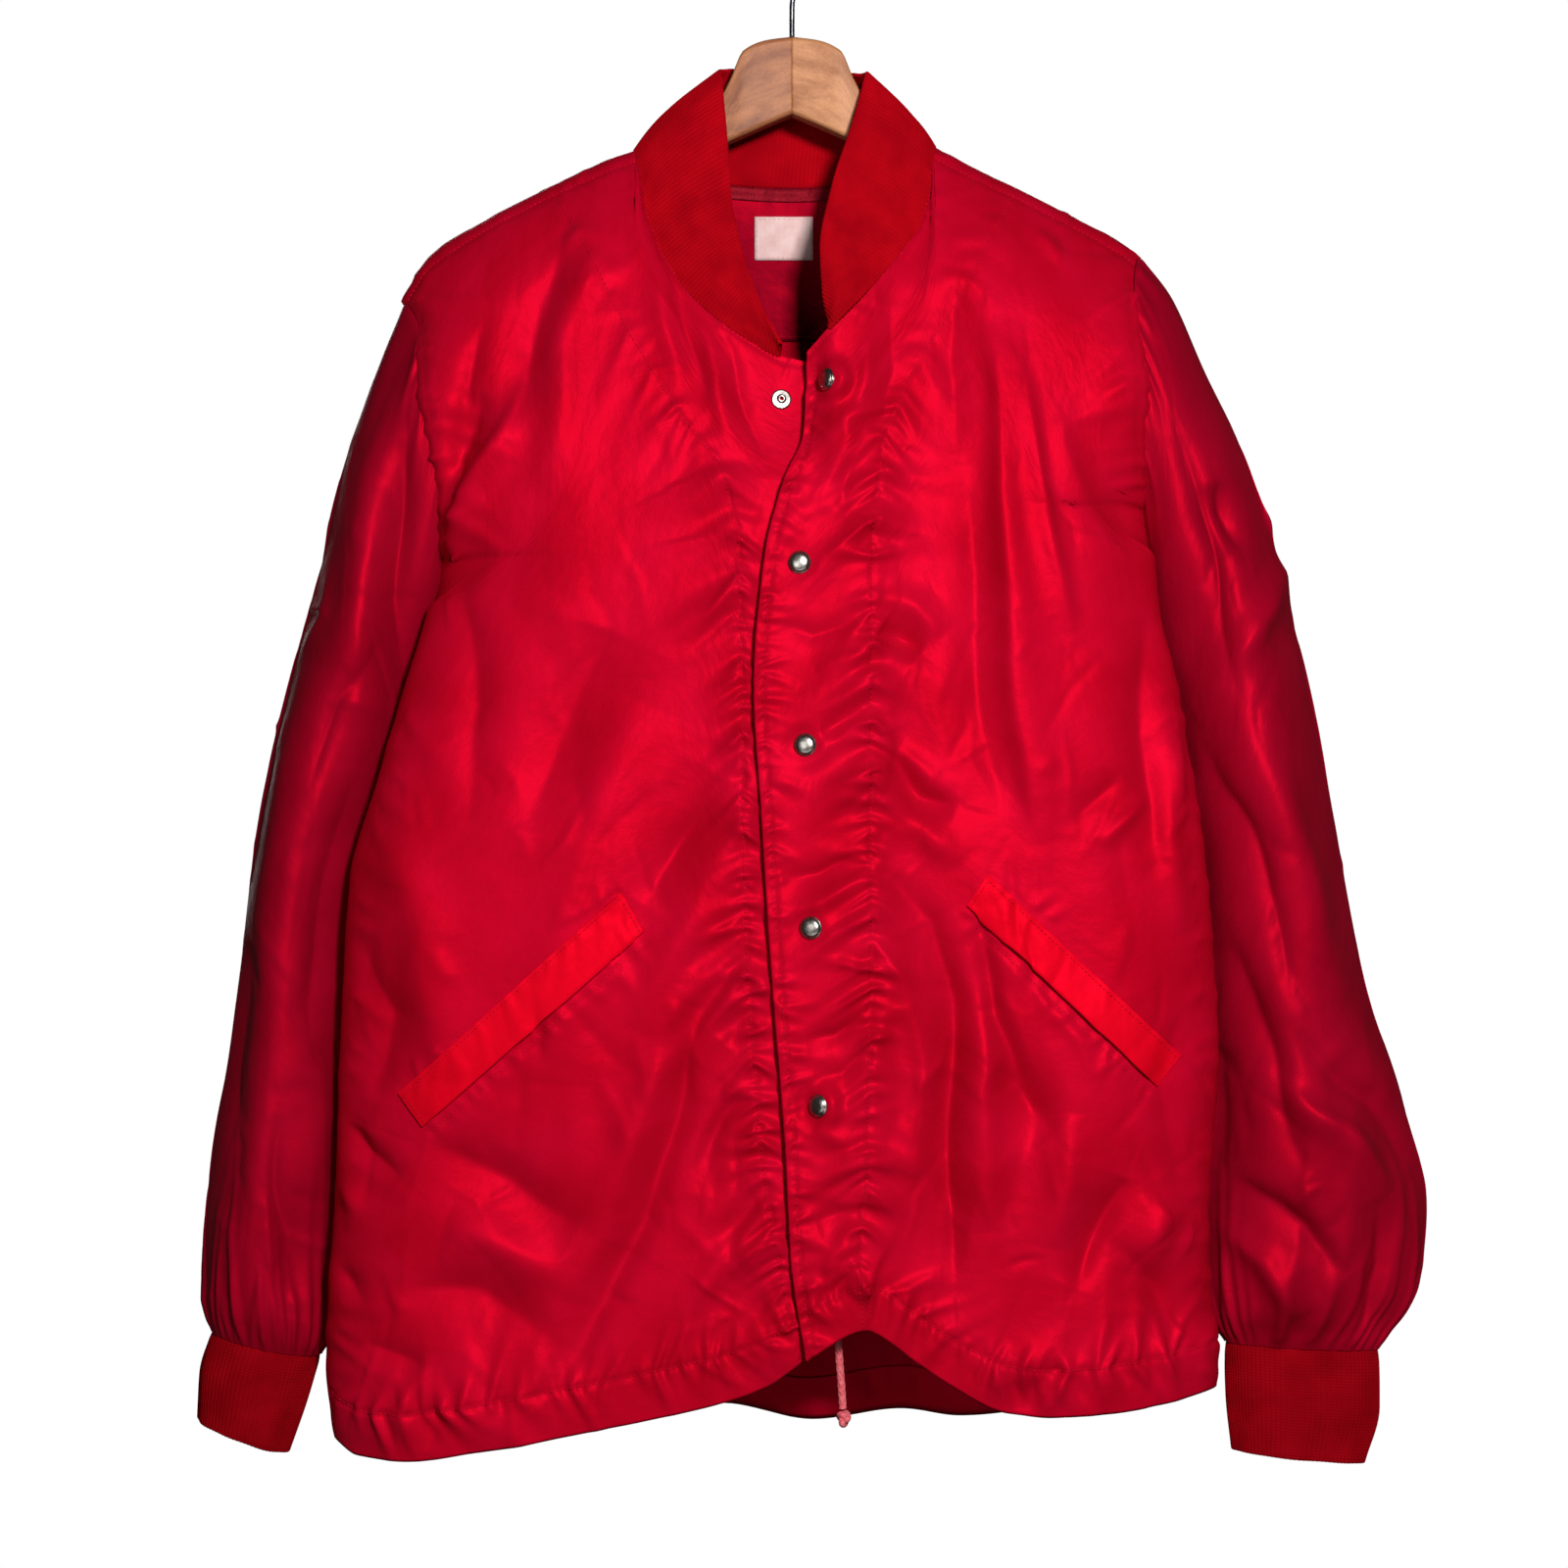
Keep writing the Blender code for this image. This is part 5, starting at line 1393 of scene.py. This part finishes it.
def make_facing(back, finish, overlock):
    """The back neck's facing, and the overlocked seam over its upper edge."""
    columns = np.linspace(*FACING_SIDES, FACING_COLUMNS)

    def hung(top, foot_at, rows, lift):
        points = np.zeros((rows, len(columns), 3))
        for j, x in enumerate(columns):
            neck = float(read(BACK_NECK, x, "z"))
            for i, z in enumerate(np.linspace(neck + top, foot_at(neck), rows)):
                place, normal = on_cloth(back.tree, x, z)
                points[i, j] = place + normal * lift
        return points

    cloth = hung(FACING_TOP, lambda neck: FACING_FOOT, FACING_ROWS, FACING_LIFT)
    facing = grid_piece("back_facing_cloth", cloth, finish, "nylon", "back_facing")
    seam = hung(OVERLOCK_TOP, lambda neck: neck + OVERLOCK_FOOT, OVERLOCK_ROWS, OVERLOCK_LIFT)
    seam[:, ::2, 1] -= 0.45
    seam[::2, :, 1] -= 0.2
    overlocked = grid_piece("overlocked_seam", seam, overlock, "nylon")
    return thickened(facing, CLOTH), thickened(overlocked, CLOTH), cloth_tree(cloth)


def make_label(tree, finish):
    """The neck label. It is bare."""
    low_x, high_x, low_z, high_z = LABEL_BOX
    corners = [(low_x, high_z), (low_x, low_z), (high_x, high_z), (high_x, low_z)]
    points = laid_on(tree, corners, *LABEL_GRID, LABEL_LIFT)
    piece = grid_piece("neck_label_cloth", points, finish, "label", "neck_label")
    return thickened(piece, LABEL_CLOTH)


# ---- The stitches

# The stitches: how far apart they are, half of one's length, how far it lies above the cloth's
# middle, its thread's radius, and the thread's share of that at places along the stitch.
STITCH = 2.7
STITCH_HALF = 0.32 * STITCH
STITCH_LIFT = CLOTH / 2 + 0.12
STITCH_RADIUS = 0.27
STITCH_ENDS = ((-1.0, 0.35), (-0.6, 1.0), (0.6, 1.0), (1.0, 0.35))
STITCH_SIDES = 5


def stitches_on(lines, tree, face=-1):
    """The stitches of some lines on a cloth."""
    return [stitch for line in lines for stitch in stitches_along(line, tree, face)]


def stitches_along(line, tree, face):
    """The two ends of each stitch of a line on the cloth, and the cloth's normal there."""
    lengths = walked(np.array(line, float))
    xs, zs = zip(*line)
    found = []
    for at in np.arange(STITCH / 2, lengths[-1], STITCH):
        ends = []
        for shift in (-STITCH_HALF, STITCH_HALF):
            x = float(np.interp(at + shift, lengths, xs))
            z = float(np.interp(at + shift, lengths, zs))
            place, normal = on_cloth(tree, x, z, face)
            if place is not None:
                ends.append(place + normal * STITCH_LIFT)
        if len(ends) == 2:
            found.append((ends[0], ends[1], normal))
    return found


def sew(name, stitches, finish):
    """Short plump threads, one for each stitch."""
    points, faces = [], []
    for first, last, normal in stitches:
        middle, half = (first + last) / 2, (last - first) / 2
        across = half.cross(normal).normalized()
        start = len(points)
        for along, size in STITCH_ENDS:
            for k in range(STITCH_SIDES):
                turn = 2 * math.pi * k / STITCH_SIDES
                out = (normal * math.cos(turn) + across * math.sin(turn)) * STITCH_RADIUS * size
                points.append((middle + half * along + out) * MM)
        for ring in range(len(STITCH_ENDS) - 1):
            for k in range(STITCH_SIDES):
                a = start + ring * STITCH_SIDES + k
                b = start + ring * STITCH_SIDES + (k + 1) % STITCH_SIDES
                faces.append((a, b, b + STITCH_SIDES, a + STITCH_SIDES))
        faces.append(tuple(start + k for k in range(STITCH_SIDES))[::-1])
        faces.append(tuple(len(points) - STITCH_SIDES + k for k in range(STITCH_SIDES)))
    mesh = bpy.data.meshes.new(name)
    mesh.from_pydata(points, [], faces)
    mesh.shade_smooth()
    return make_piece(name, mesh, finish, "nylon")


def front_lines(side):
    """Every sewn line that shows on a front."""
    lines = [FACING_STITCH[side], table_line(FRONT_HEM[side], HEM_STITCH)]
    lines.append(table_line(SHOULDER[side], -SHOULDER_STITCH_DROP))
    lines.append(table_line(FRONT_NECK[side][1:], -NECK_STITCH_DROP))
    lines.append(pocket_line(side, False, POCKET_STITCH))
    if side == "left":
        lines += [edge_line(side, EDGE_STITCH_INSET), *HEM_SEAM]
        lines += [[(x + shift, z) for x, z in BARTACK] for shift in (0, 0.7, 1.4)]
    return lines


def welt_lines(side):
    """The sewn lines on a welt: its upper edge and its two ends."""
    (top_in, foot_in, top_out, foot_out), run, down = pocket_frame(side)
    run, down = run * WELT_INSET, down * WELT_INSET
    first, last = tuple(top_in + down + run), tuple(top_out + down - run)
    return [[first, last], [first, tuple(foot_in - down / 2 + run)],
            [last, tuple(foot_out - down / 2 - run)]]


# The line sewn above the facing's foot, and how far inside the label's edge its own line runs.
FACING_LINE = [(-62.0, FACING_FOOT + 2.5), (56.0, FACING_FOOT + 2.5)]
LABEL_INSET = 1.4


def label_lines():
    """The sewn line round the neck label."""
    low_x, high_x, low_z, high_z = LABEL_BOX
    low_x, high_x = low_x + LABEL_INSET, high_x - LABEL_INSET
    low_z, high_z = low_z + LABEL_INSET, high_z - LABEL_INSET
    corners = [(low_x, low_z), (high_x, low_z), (high_x, high_z), (low_x, high_z)]
    return [list(pair) for pair in zip(corners, corners[1:] + corners[:1])]


def back_lines():
    """The sewn lines that show on the outside of the back."""
    lines = [table_line(BACK_HEM, HEM_STITCH)]
    lines += [table_line(SHOULDER[side], -SHOULDER_STITCH_DROP) for side in ("right", "left")]
    lines.append(table_line(BACK_NECK, -NECK_STITCH_DROP))
    return lines


def mesh_tree(piece):
    """The faces of a made piece, in millimetres."""
    points = [v.co / MM for v in piece.data.vertices]
    return BVHTree.FromPolygons(points, [tuple(p.vertices) for p in piece.data.polygons])


# ---- The snaps

# Each pressed piece's section, by its radius and its rise off the cloth.
SNAP_STEPS = 40
SNAP_PROFILES = {
    "cap": [(0.0, 2.9), (1.6, 2.84), (3.2, 2.62), (4.3, 2.3), (5.0, 1.9), (5.4, 1.45), (5.6, 1.1),
            (5.9, 1.0), (6.2, 0.8), (6.25, 0.4), (6.1, 0.1), (5.8, 0.0), (0.0, 0.0)],
    "stud": [(0.9, 1.0), (0.9, 2.3), (1.1, 2.5), (1.8, 2.5), (2.2, 2.1), (2.15, 1.7), (1.9, 1.3),
             (2.0, 0.9), (2.8, 0.7), (4.6, 0.9), (5.2, 0.8), (5.6, 0.3), (5.5, 0.0), (0.9, 0.0),
             (0.9, 1.0)],
    "socket": [(2.7, 1.6), (3.0, 1.8), (4.4, 1.8), (4.8, 1.4), (5.0, 0.3), (4.9, 0.0), (2.7, 0.0),
               (2.7, 1.6)],
    "back": [(1.6, 0.7), (1.8, 0.9), (4.2, 0.9), (4.7, 0.6), (5.0, 0.1), (4.9, 0.0), (1.6, 0.0),
             (1.6, 0.7)],
}
SNAP_LIFT = CLOTH / 2 + 0.15


def turned(word, number, place, axis, finish):
    """A pressed piece of a snap: its profile of (radius, rise), turned about an axis."""
    turn = round_turns(SNAP_STEPS)
    across = axis.cross(Vector((0.1, 0.2, 1.0))).normalized()
    up = across.cross(axis)
    radius, rise = np.array(SNAP_PROFILES[word]).T
    ring = np.outer(np.cos(turn), across) + np.outer(np.sin(turn), up)
    points = np.array(place) + radius[:, None, None] * ring + rise[:, None, None] * np.array(axis)
    grid_piece(f"{word}_{number}", points, finish, "snap", f"snap_{word}_{number}", wrap=True)


def make_snaps(panels, finish):
    """Each snap's cap and socket on the left front, and its stud and back on the right one."""
    for number, (cap, stud) in enumerate(zip(SNAPS, [OPEN_STUD] + SNAPS[1:]), start=1):
        for side, spot, words in (("left", cap, ("cap", "socket")), ("right", stud, ("stud", "back"))):
            place, normal = on_cloth(panels[side].tree, spot.x, spot.z)
            for word, axis in zip(words, (normal, -normal)):
                turned(word, number, place + axis * SNAP_LIFT, axis, finish)


# ---- The hanger and the drawcord

# An arm: its top, its foot, its middle and half its thickness, out from the hanger's middle.
Arm = namedtuple("Arm", "x top foot y half")
ARM = table(Arm,
    (0.15, -61, -104, 3, 8.5), (14, -63, -110, 2, 8.5), (27, -69, -116, 1, 8.5), (34, -84, -119, 1, 8.0),
    (40, -95, -122, 1, 7.5), (60, -117, -136, 1, 6.5), (76, -131, -148, 1, 6.0), (90, -139, -156, 1, 6.0),
    (130, -157, -173, 0, 6.0), (170, -177, -192, -1, 6.0), (184, -188, -199, -1, 4.5))
ARM_CORNER = 3.2
ARM_ROWS = 90
ARM_STEPS = 48

# The hook: its wire's radius, the bend's own radius inside, the stem's route, and the bend's two
# ends in degrees.
WIRE = 1.5
WIRE_SIDES = 20
HOOK_INSIDE = 16.0
HOOK_STEM = [(0.0, -60.6), (0.0, -50.0), (0.2, -41.5), (1.4, -37.2), (4.0, -34.2)]
HOOK_SWEEP = (-66.0, 205.0)

# The drawcord: its thickness, the route of its free end, how long that is, and its knot.
CORD = 4.2
CORD_ROUTE = [(24.5, -50.0, -770.0), (25.4, -49.0, -785.0), (26.6, -48.0, -800.0),
              (27.6, -47.5, -815.0)]
CORD_SIDES = 48
BRAID_STRANDS = 8
KNOT_AT = (28.0, -47.5, -820.3)
KNOT_SIZE = (4.1, 3.9, 5.0)
KNOT_RADIUS = 1.75
KNOT_SIDES = 20


def make_arm(side, finish):
    """One arm of the hanger: rounded sections from the middle to its tip."""
    shares = np.linspace(0, 1, ARM_ROWS) ** 1.15
    x = mix(0.0, ARM[-1].x, shares)
    top, foot, y, half = [read(ARM, x, column)[:, None] for column in ("top", "foot", "y", "half")]
    tall = (top - foot) / 2
    corner = np.minimum(ARM_CORNER, np.minimum(half, tall) * 0.8)
    turn = round_turns(ARM_STEPS)[None, :]
    side_step, up_step = np.sign(np.cos(turn)), np.sign(np.sin(turn))
    around_y = side_step * (half - corner) + corner * np.cos(turn)
    around_z = up_step * (tall - corner) + corner * np.sin(turn)
    points = np.stack([x[:, None] + 0 * around_y, y + around_y, (top + foot) / 2 + around_z],
                      axis=-1)
    ends = []
    for row, past in ((points[0], 0.0), (points[-1], 1.5)):
        middle = row.mean(axis=0)
        ends.append([mix(row, middle, share) + [past * share, 0, 0] for share in (0.5, 1.0)])
    points = np.concatenate([np.array(ends[0][::-1]), points, np.array(ends[1])])
    if side == "right":
        points = points * [-1, 1, 1]
        points = points[:, ::-1]
    return grid_piece(f"arm_{side}", points, finish, "hanger_wood", f"hanger_arm_{side}",
                      wrap=True)


def smooth_route(points, steps):
    """Points on a smooth curve through a route's own points."""
    ends = [np.array(point, float) for point in (points[0], *points, points[-1])]
    route = []
    for p, q, r, s in zip(ends, ends[1:], ends[2:], ends[3:]):
        for t in np.linspace(0, 1, steps, endpoint=False):
            route.append(0.5 * (2 * q + (r - p) * t + (2 * p - 5 * q + 4 * r - s) * t ** 2
                                + (3 * q - p - 3 * r + s) * t ** 3))
    return np.array(route + [ends[-1]])


def tube(route, radius, sides, relief=0.0):
    """A tube's rows round a route, with a relief for each point."""
    along = unit(np.gradient(route, axis=0))
    across = unit(np.cross(along, [0.0, 1.0, 0.0]))
    up = np.cross(across, along)
    turn = round_turns(sides)
    out = across[:, None] * np.cos(turn)[:, None] + up[:, None] * np.sin(turn)[:, None]
    return route[:, None] + out * (radius + relief + 0 * turn[None, :])[..., None]


def make_hook(finish):
    """The hook's wire: up out of the wood, then round over the rail."""
    sweep = np.radians(np.linspace(*HOOK_SWEEP, 72))
    radius = HOOK_INSIDE + WIRE
    stem = smooth_route([(x, 0, z) for x, z in HOOK_STEM], 8)
    bend = np.stack([radius * np.cos(sweep), 0 * sweep, radius * np.sin(sweep) - HOOK_INSIDE],
                    axis=-1)
    points = tube(np.concatenate([stem, bend]), WIRE, WIRE_SIDES)
    ends = [mix(points[0], points[0].mean(axis=0), share) for share in (1.0, 0.6)]
    tip = points[-1].mean(axis=0)
    ahead = unit(tip - points[-2].mean(axis=0)) * WIRE
    ends += [mix(points[-1], tip, 1 - math.cos(a)) + ahead * math.sin(a) for a in (0.5, 1.0, 1.5)]
    points = np.concatenate([ends[:2], points, ends[2:]])
    return grid_piece("hook_wire", points, finish, "hanger_wire", "hanger_hook", wrap=True)


def braid(route, radius, sides):
    """The relief of a braid: strands that wind both ways round it."""
    lengths = walked(route)
    turn = round_turns(sides)[None, :]
    wind = lengths[:, None] / (radius * 1.5)
    one_way = np.cos(BRAID_STRANDS / 2 * (turn + wind))
    other_way = np.cos(BRAID_STRANDS / 2 * (turn - wind))
    return 0.2 * np.maximum(one_way, other_way)


def make_drawcord(finish):
    """The drawcord's free end, and the knot in it."""
    route = smooth_route(CORD_ROUTE, 36)
    radius = CORD / 2 - 0.15
    points = tube(route, radius, CORD_SIDES, braid(route, radius, CORD_SIDES))
    cord = grid_piece("cord_end", points, finish, "cord", "drawcord", wrap=True)
    turn = np.linspace(0, 2 * math.pi, 220)
    loop = np.stack([np.sin(turn) + 2 * np.sin(2 * turn), -np.sin(3 * turn) * 1.2,
                     np.cos(turn) - 2 * np.cos(2 * turn)], axis=-1)
    size = np.array(KNOT_SIZE)
    loop = loop / [3.0, 1.2, 3.0] * (size - 1.7) + KNOT_AT
    strands = braid(loop, KNOT_RADIUS, KNOT_SIDES) * 0.6
    points = tube(loop, KNOT_RADIUS, KNOT_SIDES, strands)
    knot = grid_piece("cord_knot", points, finish, "cord", "drawcord_knot", wrap=True)
    return cord, knot, route


# ---- The studio

# The studio is in metres: the floor's height and half its width, how much light the air gives,
# and the lamps, with their power in watts.
FLOOR = -1.25
FLOOR_HALF = 1.35
AIR_LIGHT = 0.025
Lamp = namedtuple("Lamp", "name at aim width height energy")
LAMPS = table(Lamp,
    ("key", (0.36, -1.72, 0.06), (0.0, 0.0, -0.54), 0.22, 0.22, 37),
    ("fill", (-0.8, -2.1, -0.4), (0.0, 0.0, -0.5), 0.8, 0.8, 5.5),
    ("floor_bounce", (0.0, -1.1, -1.2), (0.0, 0.0, -0.75), 1.6, 0.5, 2.2),
    ("back_key", (-0.3, 2.4, 0.0), (0.0, 0.0, -0.5), 2.0, 2.0, 52))


def make_studio():
    """A pale floor under pale air, soft lamps in front and behind, and the camera."""
    scene = bpy.context.scene
    sides = (-FLOOR_HALF, FLOOR_HALF)
    points = np.array([[(x, y, FLOOR) for x in sides] for y in sides]) / MM
    mesh = grid_mesh("floor", points)
    mesh.materials.append(studio_paper())
    floor = bpy.data.objects.new("floor", mesh)
    scene.collection.objects.link(floor)
    floor.visible_diffuse = False
    floor.visible_glossy = False

    for lamp in LAMPS:
        light = bpy.data.lights.new(lamp.name, "AREA")
        light.shape = "RECTANGLE"
        light.size = lamp.width
        light.size_y = lamp.height
        light.energy = lamp.energy
        made = bpy.data.objects.new(lamp.name, light)
        made.location = lamp.at
        made.rotation_mode = "QUATERNION"
        made.rotation_quaternion = (Vector(lamp.aim) - Vector(lamp.at)).to_track_quat("-Z", "Y")
        scene.collection.objects.link(made)
        made.visible_camera = False

    world = bpy.data.worlds.new("studio_air")
    world.use_nodes = True
    air = world.node_tree
    ground = air.nodes["Background"]
    ground.inputs["Color"].default_value = linear("#FFFFFF")
    ground.inputs["Strength"].default_value = AIR_LIGHT
    seen = add(air, "ShaderNodeBackground", values={"Color": linear("#FFFFFF"), "Strength": 1.0})
    ray = add(air, "ShaderNodeLightPath").outputs["Is Camera Ray"]
    mixed = add(air, "ShaderNodeMixShader", links={0: ray, 1: ground.outputs[0], 2: seen.outputs[0]})
    air.links.new(mixed.outputs[0], air.nodes["World Output"].inputs["Surface"])
    scene.world = world
    scene.view_settings.view_transform = "Standard"

    lens = bpy.data.cameras.new("camera")
    lens.sensor_width = SENSOR
    lens.lens = SENSOR * abs(CAMERA_AT.y) / VIEW_WIDTH
    camera = bpy.data.objects.new("camera", lens)
    camera.location = CAMERA_AT
    camera.rotation_euler = (math.pi / 2, 0, 0)
    scene.collection.objects.link(camera)
    scene.camera = camera


# The cut of what shows of each cloth, in metres: width, length and area, all round on a tube.
Cut = namedtuple("Cut", "width length area")
CUTS = {
    "front_right": Cut(0.310, 0.750, 0.200),
    "front_left": Cut(0.285, 0.735, 0.175),
    "back": Cut(0.500, 0.760, 0.340),
    "sleeve": Cut(0.440, 0.600, 0.125),
    "cuff": Cut(0.178, 0.126, None),
    "collar": Cut(0.420, 0.140, None),
    "welt": Cut(0.165, 0.048, None),
    "facing": Cut(0.126, 0.090, None),
    "label": Cut(0.033, 0.024, None),
}


def declare(cloth, cut):
    """Looks up the cut listed for a cloth, and does nothing more with it or with the cloth."""
    cut = CUTS[cut]


def main():
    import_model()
    nylon = nylon_satin("nylon_satin", "#A0021A", "#B00424")
    knit = rib_knit("acrylic_rib_knit", "#92020F", "#A60412")
    # The cuffs' darker copy of the rib knit is painted shade: the shade that falls on the cuffs.
    shaded_cuff_knit = rib_knit("acrylic_rib_knit_cuffs_painted_shade", "#7A020C", "#8C0410")
    # The welts' lighter copy of the nylon is painted light: the light that the welts' faces catch.
    lit_welt_nylon = nylon_satin("nylon_satin_welts_painted_light", "#C20218", "#D2041C")
    # The sleeves' darker copy of the nylon is painted shade: the shade on the sleeves, which turn away
    # from the light.
    shaded_sleeve_nylon = nylon_satin("nylon_satin_sleeves_painted_shade", "#84021A", "#940420")
    # The facing's darker copy of the nylon is painted shade: the shade that falls inside the back neck.
    inner = nylon_satin("nylon_satin_facing_painted_shade", "#6A0218", "#7A041C")
    thread = sewing_thread("polyester_thread", "#A80620", "#C8102C")
    label_thread = sewing_thread("polyester_thread_pale", "#D8A8A4", "#ECC8C4")
    overlock = sewing_thread("overlock_thread", "#4E0410", "#7A0A1C")
    nickel = nickel_plate()

    panels = {side: make_front(side) for side in ("right", "left")}
    back = make_back()
    fronts = {side: sew_front(side, panels[side], nylon) for side in panels}
    back_cloth = sew_back(back, nylon)
    for side in ("right", "left"):
        welt = make_welt(side, panels[side], lit_welt_nylon)
        stitches = stitches_on(front_lines(side), panels[side].tree)
        stitches += stitches_on(welt_lines(side), mesh_tree(welt))
        front_stitches = sew(f"stitches_{side}", stitches, thread)
        declare(fronts[side], f"front_{side}")
        declare(welt, "welt")
        declare(make_sleeve(side, shaded_sleeve_nylon), "sleeve")
        declare(make_cuff(side, shaded_cuff_knit), "cuff")
    declare(make_collar(knit), "collar")
    facing, overlocked, facing_tree = make_facing(back, inner, overlock)
    label = make_label(facing_tree, woven_label())
    facing_stitches = sew("stitches_facing", stitches_on([FACING_LINE], facing_tree), thread)
    label_stitches = sew("stitches_label", stitches_on(label_lines(), mesh_tree(label)),
                         label_thread)
    back_stitches = sew("stitches_back", stitches_on(back_lines(), back.tree, 1), thread)
    declare(back_cloth, "back")
    declare(facing, "facing")
    declare(label, "label")
    make_snaps(panels, nickel)
    # The right arm's darker beech is painted shade and the left arm's lighter beech is painted light: the
    # two arms' faces turn differently to the light.
    make_arm("right", beech("beech_right_painted_shade", "#B27046", "#84492A"))
    make_arm("left", beech("beech_left_painted_light", "#CC8C5E", "#A0623A"))
    make_hook(plated_wire())
    cord, knot, route = make_drawcord(cotton_braid())
    make_studio()


main()
